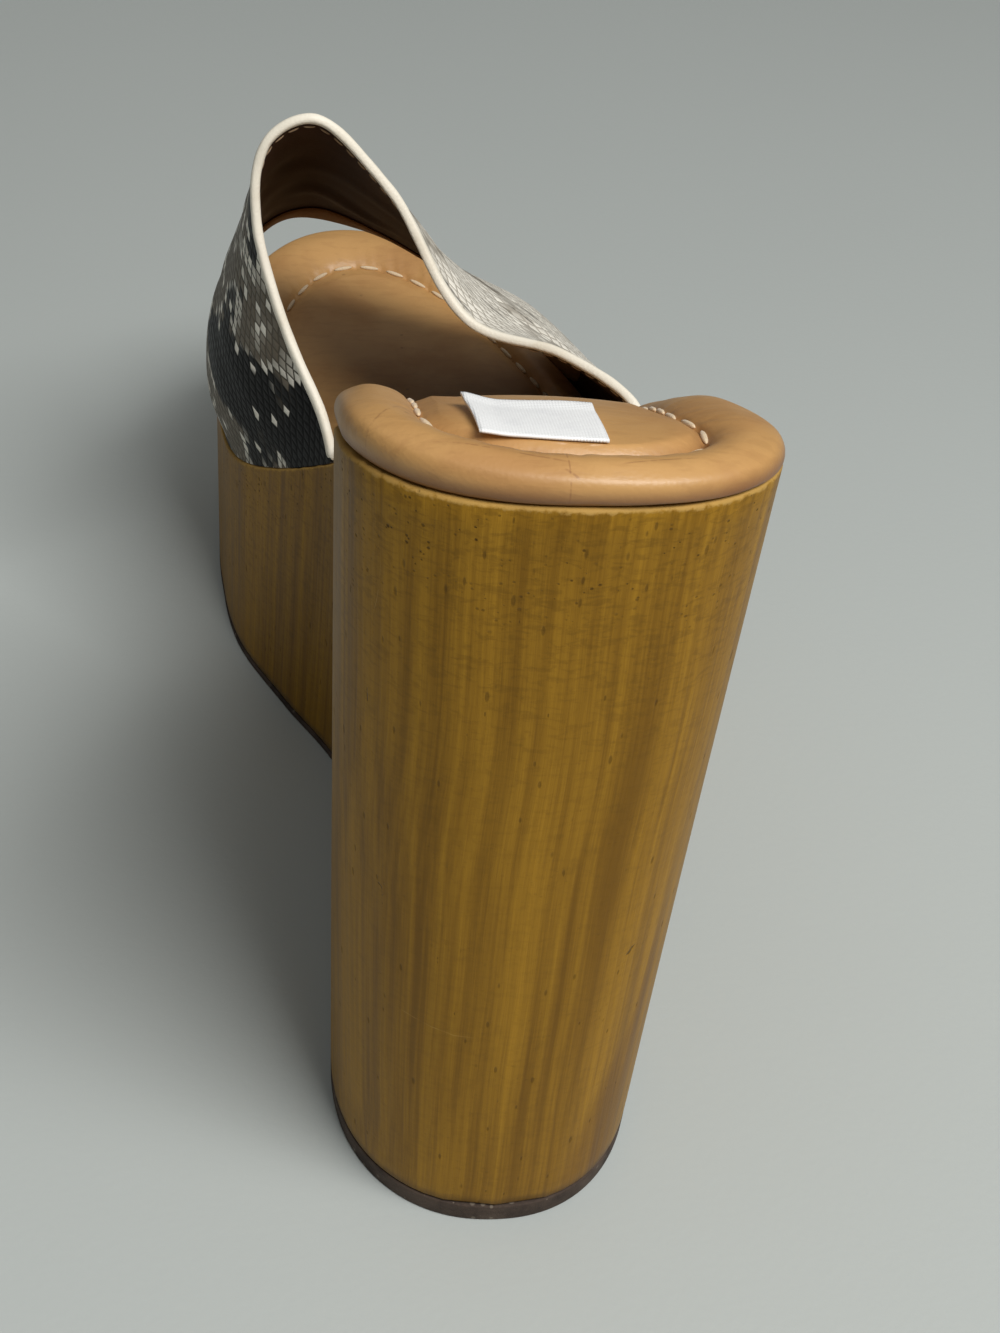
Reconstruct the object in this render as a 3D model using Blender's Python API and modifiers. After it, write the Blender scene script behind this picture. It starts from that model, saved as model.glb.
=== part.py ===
"""Platform mule sandal for the right foot, standing on its sole.

A wooden block makes both the tall heel and the platform, with an arch cut between them. It stands on a
heel tap and a thin forefoot outsole, carries a padded footbed, and one wide band crosses the instep as
the upper. Lengths below are millimetres: x runs to the lateral side, y from the heel to the toe, z up.
"""

import math
from collections import namedtuple

import bmesh
import bpy
import numpy as np

MM = 0.001
GAP = 0.3  # clearance between neighbouring pieces

# Driving sizes of the last
LENGTH = 234.0  # heel rim to toe tip, measured level
HEEL_HEIGHT = 139.2  # back edge of the wooden rim above the floor
HEEL_LEAN = 15.0  # how far the heel's back leans forward on its way to the floor
TOE_SPRING = 6.0
TREAD_FLAT_END = 182.0  # the tread curls up from here to the toe

# Plan outline of the wood: a centre line and a half width, at the rim and at the floor
Outline = namedtuple("Outline", "y centre half floor_centre floor_half")
OUTLINE = (
    Outline(0.0, 1.4, 25.1, 2.0, 24.0),
    Outline(30.0, 0.2, 25.1, 1.1, 23.9),
    Outline(60.0, 1.3, 24.6, 1.9, 23.5),
    Outline(90.0, 4.2, 24.4, 4.4, 23.6),
    Outline(118.0, 5.6, 25.8, 5.8, 25.4),
    Outline(137.0, 3.4, 33.0, 3.5, 33.0),
    Outline(154.0, 1.0, 38.7, 1.0, 38.7),
    Outline(176.0, -3.0, 40.0, -3.0, 39.6),
    Outline(205.0, -9.5, 40.0, -9.5, 39.6),
    Outline(234.0, -16.0, 40.0, -16.0, 39.6),
)
Cap = namedtuple("Cap", "depth power")
HEEL_CAP_RIM = Cap(20.3, 2.4)
HEEL_CAP_FLOOR = Cap(32.0, 2.2)
TOE_CAP = Cap(71.0, 2.0)

# Side profile: height of the wood's top along the foot
Seat = namedtuple("Seat", "y z")
SEAT = (
    Seat(-10.0, 140.0),
    Seat(0.0, HEEL_HEIGHT),
    Seat(14.0, 137.0),
    Seat(30.0, 130.2),
    Seat(50.0, 117.4),
    Seat(80.0, 96.6),
    Seat(110.0, 75.4),
    Seat(127.0, 61.8),
    Seat(140.0, 52.6),
    Seat(154.0, 45.0),
    Seat(170.0, 40.8),
    Seat(190.0, 40.8),
    Seat(212.0, 44.0),
    Seat(240.0, 50.6),
)

# Ground contact
TAP_THICK = 3.6
TREAD_THICK = 1.4
BREAST_Y = 67.0  # front face of the heel at the floor
ARCH_PEAK = (80.0, 38.0)
ARCH_RADIUS = 13.0
TREAD_START = 119.0

# Padded footbed: half section of its rolled rim, from the underside inwards
Pad = namedtuple("Pad", "name inset height")
PAD = (
    Pad("underside edge", 0.9, 0.0),
    Pad("side", 0.2, 1.8),
    Pad("side shoulder", 0.9, 3.6),
    Pad("roll shoulder", 2.8, 4.6),
    Pad("roll top", 5.4, 4.9),
    Pad("roll inside", 8.6, 4.4),
    Pad("stitched groove", 11.5, 2.8),
    Pad("field edge", 14.5, 3.3),
)
PAD_BANK = 0.04  # the padding under the heel stands a little higher on the medial side
PAD_BANK_END = 70.0

# Band across the instep: the same stations on its collar line, its middle and its toe line
WALL = 2.0  # leather and lining together
BAND_SINK = 3.0  # how far the blank reaches below the seat before it is trimmed
RIM_STEP = 0.4  # the band's foot stands this far inside the wood's rim
BAND_ROOM = 4.0  # how far the footbed draws in beside the band
MEDIAL_FOOT_Y = (124.0, 156.0, 188.0)
LATERAL_FOOT_Y = (111.0, 142.0, 173.0)
Station = namedtuple("Station", "name collar middle toe")
BAND = (
    Station("medial wall", (-23.6, 127.5, 71.0), (-41.4, 159.0, 53.0), (-42.0, 190.0, 51.0)),
    Station("medial side", (-29.2, 135.5, 81.0), (-42.6, 164.0, 66.0), (-40.4, 194.0, 62.5)),
    Station("medial crest", (-35.2, 143.6, 99.5), (-39.4, 169.0, 81.0), (-35.4, 198.0, 72.0)),
    Station("medial shoulder", (-33.4, 146.4, 112.9), (-33.6, 172.2, 92.0), (-29.8, 200.0, 76.0)),
    Station("peak", (-25.0, 147.0, 117.1), (-25.0, 173.5, 95.9), (-23.0, 200.5, 77.2)),
    Station("flank", (-11.6, 144.6, 105.3), (-10.5, 172.0, 87.7), (-10.0, 200.0, 72.8)),
    Station("hollow", (1.6, 136.8, 85.6), (4.5, 166.5, 78.0), (3.5, 197.0, 66.0)),
    Station("lateral crest", (16.5, 129.0, 84.4), (19.0, 158.5, 71.0), (19.0, 188.5, 59.6)),
    Station("lateral wall", (28.2, 117.5, 81.0), (37.0, 145.5, 59.6), (34.2, 176.0, 51.0)),
)

# Mesh density
RING_SEGMENTS = 96
COLUMN_LEVELS = 8
SEAT_STEP = 4.0
BAND_ACROSS = 56
BAND_ALONG = 16
REACH = 70.0  # half width of the cutters
SAW_MARGIN = 8.0  # how far the blanks and cutters run past the finished shape

COLOURS = {
    "wood_sole": ((0.22, 0.11, 0.025), 0.42),
    "heel_tap": ((0.055, 0.04, 0.028), 0.75),
    "outsole": ((0.05, 0.038, 0.028), 0.75),
    "footbed": ((0.47, 0.25, 0.095), 0.48),
    "upper": ((0.33, 0.31, 0.28), 0.5),
}


# Curves ----------------------------------------------------------------------------------------------


def mix(a, b, share):
    return a + (b - a) * share


def smoothstep(low, high, value):
    share = min(max((value - low) / (high - low), 0.0), 1.0)
    return share * share * (3.0 - 2.0 * share)


def along(table, column, y):
    """A column of a table read at y, through a cubic curve that passes every row."""
    ys = [row.y for row in table]
    values = [getattr(row, column) for row in table]
    tangents = np.gradient(values, ys)
    i = min(max(int(np.searchsorted(ys, y)) - 1, 0), len(ys) - 2)
    span = ys[i + 1] - ys[i]
    t = (y - ys[i]) / span
    return float(
        (2 * t**3 - 3 * t**2 + 1) * values[i]
        + (t**3 - 2 * t**2 + t) * span * tangents[i]
        + (3 * t**2 - 2 * t**3) * values[i + 1]
        + (t**3 - t**2) * span * tangents[i + 1]
    )


def seat_z(y):
    return along(SEAT, "z", y)


def seat_slant(y):
    """Vertical height of a layer one unit thick that lies on the seat."""
    return math.hypot(1.0, seat_z(y + 0.5) - seat_z(y - 0.5))


def tread_z(y):
    """Underside of the forefoot: flat, then curling up to the toe."""
    if y <= TREAD_FLAT_END:
        return 0.0
    return TOE_SPRING * ((y - TREAD_FLAT_END) / (LENGTH - TREAD_FLAT_END)) ** 2


def roundness(distance, cap):
    """Share of the full width left at a distance from an end that closes in a superellipse."""
    if distance >= cap.depth:
        return 1.0
    return (1.0 - ((cap.depth - distance) / cap.depth) ** cap.power) ** (1.0 / cap.power)


def plan_x(y, side, level, inset=0.0):
    """Where the wall stands at y; side is 1 lateral and -1 medial, level is 0 at the floor and 1 at the rim."""
    back = mix(HEEL_LEAN, 0.0, level) + inset
    front = LENGTH - inset
    centre = mix(along(OUTLINE, "floor_centre", y), along(OUTLINE, "centre", y), level)
    half = mix(along(OUTLINE, "floor_half", y), along(OUTLINE, "half", y), level) - inset
    heel = Cap(
        mix(HEEL_CAP_FLOOR.depth, HEEL_CAP_RIM.depth, level) - inset,
        mix(HEEL_CAP_FLOOR.power, HEEL_CAP_RIM.power, level),
    )
    toe = Cap(TOE_CAP.depth - inset, TOE_CAP.power)
    half *= roundness(max(y - back, 0.0), heel) * roundness(max(front - y, 0.0), toe)
    return centre + side * half


def round_the_shoe(back, front):
    """Sides and y places of a ring, from the heel round the lateral side, dense where the ends turn."""
    places = []
    for i in range(RING_SEGMENTS):
        y = mix(back, front, (1.0 - math.cos(2.0 * math.pi * i / RING_SEGMENTS)) / 2.0)
        places.append((1.0 if 2 * i <= RING_SEGMENTS else -1.0, y))
    return places


def rim_level(y):
    return min(max(seat_z(y) / HEEL_HEIGHT, 0.0), 1.0)


def rim_x(y, side, inset=0.0):
    return plan_x(y, side, rim_level(y), inset)


def fillet(before, corner, after, radius, steps=8):
    """Points of an arc that rounds a corner between two neighbours."""
    corner = np.array(corner)
    to_before = np.array(before) - corner
    to_after = np.array(after) - corner
    to_before /= np.linalg.norm(to_before)
    to_after /= np.linalg.norm(to_after)
    half_angle = math.acos(float(to_before @ to_after)) / 2.0
    setback = radius / math.tan(half_angle)
    bisector = (to_before + to_after) / np.linalg.norm(to_before + to_after)
    centre = corner + bisector * radius / math.sin(half_angle)
    start = corner + to_before * setback - centre
    end = corner + to_after * setback - centre
    sweep = math.acos(float(start @ end) / radius**2)
    points = []
    for step in range(steps + 1):
        share = step / steps
        arc = (math.sin((1.0 - share) * sweep) * start + math.sin(share * sweep) * end) / math.sin(sweep)
        points.append(tuple(centre + arc))
    return points


def spline(points, count):
    """Evenly spaced points on a centripetal Catmull-Rom curve through the given ones."""
    points = np.array(points, float)
    padded = np.vstack([2 * points[0] - points[1], points, 2 * points[-1] - points[-2]])
    fine = []
    for a, b, c, d in zip(padded, padded[1:], padded[2:], padded[3:]):
        ta = 0.0
        tb = ta + math.sqrt(np.linalg.norm(b - a))
        tc = tb + math.sqrt(np.linalg.norm(c - b))
        td = tc + math.sqrt(np.linalg.norm(d - c))
        for t in np.linspace(tb, tc, 12, endpoint=False):
            ab = ((tb - t) * a + (t - ta) * b) / (tb - ta)
            bc = ((tc - t) * b + (t - tb) * c) / (tc - tb)
            cd = ((td - t) * c + (t - tc) * d) / (td - tc)
            abc = ((tc - t) * ab + (t - ta) * bc) / (tc - ta)
            bcd = ((td - t) * bc + (t - tb) * cd) / (td - tb)
            fine.append(((tc - t) * abc + (t - tb) * bcd) / (tc - tb))
    fine.append(points[-1])
    fine = np.array(fine)
    run = np.r_[0.0, np.cumsum(np.linalg.norm(np.diff(fine, axis=0), axis=1))]
    wanted = np.linspace(0.0, run[-1], count)
    return np.column_stack([np.interp(wanted, run, fine[:, axis]) for axis in range(3)])


# Scene helpers ---------------------------------------------------------------------------------------


def clear_scene():
    for obj in list(bpy.data.objects):
        bpy.data.objects.remove(obj, do_unlink=True)


def collection(name, hidden=False):
    made = bpy.data.collections.new(name)
    made.hide_render = hidden
    bpy.context.scene.collection.children.link(made)
    return made


def material(name):
    colour, roughness = COLOURS[name]
    made = bpy.data.materials.new(name)
    made.use_nodes = True
    shader = made.node_tree.nodes["Principled BSDF"]
    shader.inputs["Base Color"].default_value = (*colour, 1.0)
    shader.inputs["Roughness"].default_value = roughness
    shader.inputs["Metallic"].default_value = 0.0
    made.diffuse_color = (*colour, 1.0)
    return made


def finish(bm, name, group):
    """Turns a bmesh in millimetres into an object in metres, its faces pointing out."""
    bmesh.ops.recalc_face_normals(bm, faces=bm.faces)
    bmesh.ops.scale(bm, vec=(MM, MM, MM), verts=bm.verts)
    mesh = bpy.data.meshes.new(name)
    bm.to_mesh(mesh)
    bm.free()
    obj = bpy.data.objects.new(name, mesh)
    group.objects.link(obj)
    if name in COLOURS:
        mesh.materials.append(material(name))
        mesh.shade_smooth()
        mesh.set_sharp_from_angle(angle=math.radians(40))
    else:
        obj.hide_render = True
        obj.display_type = "WIRE"
    return obj


def boolean(obj, operation, cutter):
    modifier = obj.modifiers.new(operation.title(), "BOOLEAN")
    modifier.operation = operation
    modifier.solver = "EXACT"
    modifier.object = cutter


def bridge(bm, lower, upper):
    """Quads between two closed rings of as many vertices."""
    count = len(lower)
    for i in range(count):
        j = (i + 1) % count
        bm.faces.new((lower[i], lower[j], upper[j], upper[i]))


def fill_across(bm, ring):
    """Closes a ring whose two halves mirror each other in y with strips across the foot."""
    count = len(ring)
    last = count // 2
    for i in range(last):
        near, far = ring[i], ring[i + 1]
        near_other, far_other = ring[-i % count], ring[-(i + 1) % count]
        corners = list(dict.fromkeys((near, far, far_other, near_other)))
        bm.faces.new(corners)


# Pieces ----------------------------------------------------------------------------------------------


def column_mesh():
    """The block before it is sawn: the plan outline carried up from below the floor."""
    bm = bmesh.new()
    rings = []
    for step in range(COLUMN_LEVELS):
        z = mix(-SAW_MARGIN, HEEL_HEIGHT + SAW_MARGIN, step / (COLUMN_LEVELS - 1))
        level = z / HEEL_HEIGHT
        ring = []
        for side, y in round_the_shoe(mix(HEEL_LEAN, 0.0, level), LENGTH):
            ring.append(bm.verts.new((plan_x(y, side, level), y, z)))
        rings.append(ring)
    for lower, upper in zip(rings, rings[1:]):
        bridge(bm, lower, upper)
    bm.faces.new(rings[0])
    bm.faces.new(rings[-1])
    return bm


def side_cutter(name, points, group):
    """A side view outline, given as (y, z), carried right through the shoe."""
    bm = bmesh.new()
    face = bm.faces.new([bm.verts.new((-REACH, y, z)) for y, z in points])
    grown = bmesh.ops.extrude_face_region(bm, geom=[face])["geom"]
    moved = [item for item in grown if isinstance(item, bmesh.types.BMVert)]
    bmesh.ops.translate(bm, vec=(2 * REACH, 0.0, 0.0), verts=moved)
    return finish(bm, name, group)


def stations(start, end, step=SEAT_STEP):
    return list(np.linspace(start, end, max(int(abs(end - start) / step), 1) + 1))


def wood_profile():
    back = -SAW_MARGIN
    front = LENGTH + SAW_MARGIN
    top = [(y, seat_z(y)) for y in stations(back, front)]
    sole = TREAD_THICK + GAP
    tread = [(y, tread_z(y) + sole) for y in stations(front, TREAD_FLAT_END)]
    start = (TREAD_START, sole)
    breast = (BREAST_Y, TAP_THICK + GAP)
    arch = fillet(start, ARCH_PEAK, breast, ARCH_RADIUS)
    return top + tread + [start] + arch + [breast, (back, TAP_THICK + GAP)]


def wood_sole(parts, cutters):
    block = finish(column_mesh(), "wood_sole", parts)
    boolean(block, "INTERSECT", side_cutter("saw_wood", wood_profile(), cutters))


def heel_tap(parts, cutters):
    tap = finish(column_mesh(), "heel_tap", parts)
    back = -SAW_MARGIN
    profile = [(back, 0.0), (BREAST_Y, 0.0), (BREAST_Y, TAP_THICK), (back, TAP_THICK)]
    boolean(tap, "INTERSECT", side_cutter("saw_tap", profile, cutters))


def outsole(parts, cutters):
    tread = finish(column_mesh(), "outsole", parts)
    run = [TREAD_START] + stations(TREAD_FLAT_END, LENGTH + SAW_MARGIN)
    under = [(y, tread_z(y)) for y in run]
    over = [(y, tread_z(y) + TREAD_THICK) for y in reversed(run)]
    boolean(tread, "INTERSECT", side_cutter("saw_tread", under + over, cutters))


def band_room(y, side):
    """How far the footbed draws in to leave room for the band that stands on the rim."""
    feet = LATERAL_FOOT_Y if side > 0 else MEDIAL_FOOT_Y
    behind = smoothstep(feet[0] - 12.0, feet[0] - 2.0, y)
    ahead = smoothstep(feet[-1] + 2.0, feet[-1] + 12.0, y)
    return behind * (1.0 - ahead) * BAND_ROOM


def footbed(parts):
    bm = bmesh.new()
    rings = []
    for pad in PAD:
        ring = []
        for side, y in round_the_shoe(pad.inset, LENGTH - pad.inset):
            room = band_room(y, side) * (1.0 - smoothstep(3.0, 13.0, pad.inset))
            x = rim_x(y, side, pad.inset) - side * room
            z = seat_z(y) + GAP + pad.height * seat_slant(y)
            if pad.height > 0.0:
                z -= PAD_BANK * x * (1.0 - smoothstep(0.0, PAD_BANK_END, y))
            ring.append(bm.verts.new((x, y, z)))
        rings.append(ring)
    for lower, upper in zip(rings, rings[1:]):
        bridge(bm, lower, upper)
    fill_across(bm, rings[0])
    fill_across(bm, rings[-1])
    finish(bm, "footbed", parts)


def band_line(column, index):
    """One line across the foot, from the medial rim over the instep to the lateral rim."""
    medial_y = MEDIAL_FOOT_Y[index]
    lateral_y = LATERAL_FOOT_Y[index]
    medial_x = rim_x(medial_y, -1) + RIM_STEP
    lateral_x = rim_x(lateral_y, 1) - RIM_STEP
    points = [
        (medial_x, medial_y, seat_z(medial_y) - BAND_SINK),
        (medial_x, medial_y, seat_z(medial_y) + GAP),
    ]
    points += [getattr(station, column) for station in BAND]
    points += [
        (lateral_x, lateral_y, seat_z(lateral_y) + GAP),
        (lateral_x, lateral_y, seat_z(lateral_y) - BAND_SINK),
    ]
    return spline(points, BAND_ACROSS + 1)


def upper(parts, cutters):
    lines = [band_line(column, index) for index, column in enumerate(("collar", "middle", "toe"))]
    bm = bmesh.new()
    rows = []
    for step in range(BAND_ALONG + 1):
        v = step / BAND_ALONG
        weights = ((1 - v) * (1 - 2 * v), 4 * v * (1 - v), v * (2 * v - 1))
        points = sum(weight * line for weight, line in zip(weights, lines))
        rows.append([bm.verts.new(point) for point in points])
    for near, far in zip(rows, rows[1:]):
        for a, b, c, d in zip(near, near[1:], far[1:], far):
            bm.faces.new((a, b, c, d))
    band = finish(bm, "upper", parts)
    wall = band.modifiers.new("Wall", "SOLIDIFY")
    wall.thickness = WALL * MM
    wall.offset = -1.0
    wall.use_even_offset = True
    back = LATERAL_FOOT_Y[0] - SAW_MARGIN
    front = MEDIAL_FOOT_Y[-1] + SAW_MARGIN
    ground = [(y, seat_z(y) + GAP) for y in stations(back, front)] + [(front, 0.0), (back, 0.0)]
    boolean(band, "DIFFERENCE", side_cutter("trim_seat", ground, cutters))


def centre_on_floor(parts, cutters):
    """Hangs every piece on an empty that puts the origin on the floor, under the middle of the shoe."""
    bpy.context.view_layer.update()
    graph = bpy.context.evaluated_depsgraph_get()
    points = []
    for obj in parts.objects:
        evaluated = obj.evaluated_get(graph)
        mesh = evaluated.to_mesh()
        points += [evaluated.matrix_world @ vertex.co for vertex in mesh.vertices]
        evaluated.to_mesh_clear()
    low = [min(point[axis] for point in points) for axis in range(3)]
    high = [max(point[axis] for point in points) for axis in range(3)]
    pieces = [*parts.objects, *cutters.objects]
    frame = bpy.data.objects.new("shoe_frame", None)
    parts.objects.link(frame)
    frame.location = (-(low[0] + high[0]) / 2.0, -(low[1] + high[1]) / 2.0, -low[2])
    for piece in pieces:
        piece.parent = frame


def main():
    clear_scene()
    parts = collection("platform_sandal")
    cutters = collection("cutters", hidden=True)
    wood_sole(parts, cutters)
    heel_tap(parts, cutters)
    outsole(parts, cutters)
    footbed(parts)
    upper(parts, cutters)
    centre_on_floor(parts, cutters)


main()
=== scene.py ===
"""Looks of a right-foot platform mule: wood, leather, snakeskin print, threads and a plain studio.

Every piece is modelled in millimetres in the maker's own frame, y from the heel rim to the toe, and then
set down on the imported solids, whose boxes say where that frame lies.
"""

import math
from collections import namedtuple
from functools import reduce

import bmesh
import bpy
import numpy as np
from bpy.props import FloatProperty, FloatVectorProperty, IntProperty, PointerProperty
from mathutils import Matrix, Vector
from mathutils.kdtree import KDTree


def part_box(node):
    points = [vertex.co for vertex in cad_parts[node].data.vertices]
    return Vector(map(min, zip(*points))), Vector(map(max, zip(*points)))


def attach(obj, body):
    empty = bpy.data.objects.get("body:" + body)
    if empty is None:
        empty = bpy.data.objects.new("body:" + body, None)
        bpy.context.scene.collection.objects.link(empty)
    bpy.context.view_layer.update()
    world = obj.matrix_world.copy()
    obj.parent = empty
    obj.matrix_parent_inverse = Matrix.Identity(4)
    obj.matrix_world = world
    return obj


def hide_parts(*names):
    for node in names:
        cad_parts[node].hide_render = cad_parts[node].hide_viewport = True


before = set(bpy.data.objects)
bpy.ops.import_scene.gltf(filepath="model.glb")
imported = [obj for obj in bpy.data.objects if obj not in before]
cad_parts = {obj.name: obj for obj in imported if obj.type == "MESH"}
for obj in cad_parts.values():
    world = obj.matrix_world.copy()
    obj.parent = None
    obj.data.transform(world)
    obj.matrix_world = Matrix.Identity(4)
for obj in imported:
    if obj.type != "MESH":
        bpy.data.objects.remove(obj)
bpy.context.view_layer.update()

bl_info = {
    "name": "Platform mule sandal",
    "version": (1, 0, 0),
    "blender": (4, 5, 0),
    "location": "3D View > Sidebar > Sandal",
    "description": "Models and finishes a right-foot platform mule on its packed solids",
    "category": "Add Mesh",
}

MM = 0.001
GAP = 0.3  # clearance between neighbouring pieces

# --- The last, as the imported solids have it

LENGTH = 234.0
HEEL_HEIGHT = 139.2
HEEL_LEAN = 15.0
TOE_SPRING = 6.0
TREAD_FLAT_END = 182.0

OUTLINE = (  # y, then centre and half width of the rim, and the same of the floor line
    (0.0, 1.4, 25.1, 2.0, 24.0),
    (30.0, 0.2, 25.1, 1.1, 23.9),
    (60.0, 1.3, 24.6, 1.9, 23.5),
    (90.0, 4.2, 24.4, 4.4, 23.6),
    (118.0, 5.6, 25.8, 5.8, 25.4),
    (137.0, 3.4, 33.0, 3.5, 33.0),
    (154.0, 1.0, 38.7, 1.0, 38.7),
    (176.0, -3.0, 40.0, -3.0, 39.6),
    (205.0, -9.5, 40.0, -9.5, 39.6),
    (234.0, -16.0, 40.0, -16.0, 39.6),
)
OUTLINE_Y, *OUTLINE_COLUMNS = zip(*OUTLINE)
Cap = namedtuple("Cap", "depth power")
HEEL_CAP_RIM = Cap(20.3, 2.4)
HEEL_CAP_FLOOR = Cap(32.0, 2.2)
TOE_CAP = Cap(71.0, 2.0)

SEAT_Y = (-10.0, 0.0, 14.0, 30.0, 50.0, 80.0, 110.0, 127.0, 140.0, 154.0, 170.0, 190.0, 212.0, 240.0)
SEAT_Z = (140.0, HEEL_HEIGHT, 137.0, 130.2, 117.4, 96.6, 75.4, 61.8, 52.6, 45.0, 40.8, 40.8, 44.0, 50.6)

TAP_THICK = 3.6
TREAD_THICK = 1.4
BREAST_Y = 67.0  # front of the heel
ARCH_PEAK = (80.0, 38.0)
ARCH_RADIUS = 13.0
TREAD_START = 119.0

# Padded footbed: insets and heights of its rolled rim, from the underside inwards
PAD = {
    "underside": (2.6, 0.0),
    "underside edge": (0.9, 0.02),
    "side low": (0.1, 0.7),
    "side": (0.0, 1.9),
    "side shoulder": (0.7, 3.1),
    "roll shoulder": (2.5, 3.9),
    "roll top": (5.0, 4.35),
    "roll inside": (7.8, 4.0),
    "groove wall": (10.0, 3.15),
    "stitched groove": (11.2, 2.3),
    "groove lip": (12.5, 2.65),
    "field edge": (14.5, 3.25),
}
GROOVE_INSET, GROOVE_HEIGHT = PAD["stitched groove"]
FIELD_INSET, FIELD_HEIGHT = PAD["field edge"]
PAD_BANK = 0.048  # slope of the heel pad down to the lateral side
PAD_BANK_END = 70.0  # where that slope has run out
BAND_ROOM = 4.0  # how far the footbed draws in beside the band's feet
FIELD_DOME = 0.5  # how much the padding swells in the middle of the footbed

# Band across the instep
RIM_STEP = 0.4  # how far the band stands in from the wood's rim
MEDIAL_FOOT_Y = (124.0, 156.0, 188.0)  # where the collar, middle and toe lines meet the rim
LATERAL_FOOT_Y = (111.0, 150.0, 203.0)
BAND_SINK = 3.0  # how far the lines aim down past the rim
Station = namedtuple("Station", "name collar middle toe")
BAND = (
    Station("medial wall", (-23.6, 127.5, 71.0), (-41.4, 159.0, 53.0), (-42.0, 190.0, 51.0)),
    Station("medial side", (-29.2, 135.5, 81.0), (-42.6, 164.0, 66.0), (-40.4, 194.0, 62.5)),
    Station("medial crest", (-35.2, 143.6, 99.5), (-39.4, 169.0, 81.0), (-35.6, 198.0, 70.0)),
    Station("medial shoulder", (-33.4, 146.4, 112.9), (-33.6, 172.2, 91.5), (-30.0, 200.0, 73.0)),
    Station("peak", (-25.0, 147.0, 117.1), (-25.0, 173.5, 95.2), (-23.0, 200.5, 73.4)),
    Station("flank", (-11.6, 144.6, 105.3), (-10.5, 172.0, 87.2), (-10.0, 200.0, 70.0)),
    Station("hollow", (1.6, 136.8, 85.6), (4.5, 166.5, 77.5), (4.5, 195.5, 64.0)),
    Station("lateral crest", (16.9, 129.0, 84.4), (19.0, 159.5, 70.0), (17.0, 194.0, 58.5)),
    Station("lateral wall", (28.6, 117.5, 81.0), (34.2, 150.0, 60.2), (27.0, 199.0, 47.0)),
)
SHOWN_WALL = 1.4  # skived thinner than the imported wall, as its edges show
SKIN_THICK = 0.7  # the printed leather's share of the wall; the lining has the rest
LINING_GAP = 0.03  # between printed leather and lining


# --- Curves


def mix(a, b, share):
    return a + (b - a) * share


def smoothstep(low, high, value):
    share = np.clip((np.asarray(value, float) - low) / (high - low), 0.0, 1.0)
    return share * share * (3.0 - 2.0 * share)


def curve(ys, values):
    """A smooth curve through values at places along the foot."""
    ys, values = np.array(ys), np.array(values)
    tangents = np.gradient(values, ys)

    def read(y):
        i = np.clip(np.searchsorted(ys, y) - 1, 0, len(ys) - 2)
        span = ys[i + 1] - ys[i]
        t = (y - ys[i]) / span
        start = (2 * t**3 - 3 * t**2 + 1) * values[i] + (t**3 - 2 * t**2 + t) * span * tangents[i]
        return start + (3 * t**2 - 2 * t**3) * values[i + 1] + (t**3 - t**2) * span * tangents[i + 1]

    return read


rim_centre, rim_half, floor_centre, floor_half = (curve(OUTLINE_Y, values) for values in OUTLINE_COLUMNS)
seat_z = curve(SEAT_Y, SEAT_Z)


def seat_slope(y):
    return seat_z(y + 0.5) - seat_z(y - 0.5)


def seat_slant(y):
    """Vertical height of a layer one unit thick that lies on the seat."""
    return np.hypot(1.0, seat_slope(y))


def tread_z(y):
    run = np.maximum(y - TREAD_FLAT_END, 0.0) / (LENGTH - TREAD_FLAT_END)
    return TOE_SPRING * run**2


def roundness(distance, depth, power):
    """Share of the full width left at a distance from an end that closes in a superellipse."""
    share = np.clip((depth - distance) / depth, 0.0, 1.0)
    return (1.0 - share**power) ** (1.0 / power)


def half_width(y, level, inset=0.0):
    """Half width of the plan; level is 0 at the floor and 1 at the rim."""
    depth, power = (mix(*parts, level) for parts in zip(HEEL_CAP_FLOOR, HEEL_CAP_RIM))
    half = mix(floor_half(y), rim_half(y), level) - inset
    half = half * roundness(y - mix(HEEL_LEAN, 0.0, level) - inset, depth - inset, power)
    return half * roundness(LENGTH - inset - y, TOE_CAP.depth - inset, TOE_CAP.power)


def plan_x(y, side, level, inset=0.0):
    return mix(floor_centre(y), rim_centre(y), level) + side * half_width(y, level, inset)


def rim_level(y):
    return np.clip(seat_z(y) / HEEL_HEIGHT, 0.0, 1.0)


def rim_x(y, side, inset=0.0):
    return plan_x(y, side, rim_level(y), inset)


def unit(vectors):
    """Vectors along the last axis, brought to length 1."""
    return vectors / np.linalg.norm(vectors, axis=-1, keepdims=True)


def fillet(before, corner, after, radius, steps):
    """Points of an arc that rounds a corner between two neighbours."""
    corner = np.array(corner)
    to_before = unit(np.array(before) - corner)
    to_after = unit(np.array(after) - corner)
    half_angle = math.acos(float(to_before @ to_after)) / 2.0
    setback = radius / math.tan(half_angle)
    centre = corner + unit(to_before + to_after) * radius / math.sin(half_angle)
    start = corner + to_before * setback - centre
    end = corner + to_after * setback - centre
    turn = math.acos(float(start @ end) / radius**2)
    shares = np.linspace(0.0, 1.0, steps + 1)[:, None]
    return centre + (np.sin((1.0 - shares) * turn) * start + np.sin(shares * turn) * end) / math.sin(turn)


def arc_run(points, axis=0):
    """Length from the first point on, along one axis of a row or a grid of points."""
    steps = np.linalg.norm(np.diff(points, axis=axis), axis=-1)
    return np.insert(np.cumsum(steps, axis=axis), 0, 0.0, axis=axis)


def read_columns(wanted, run, values):
    """Rows of values read at wanted lengths along a run."""
    return np.column_stack([np.interp(wanted, run, column) for column in values.T])


SPLINE_STEPS = 12  # steps from one given point to the next


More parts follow.
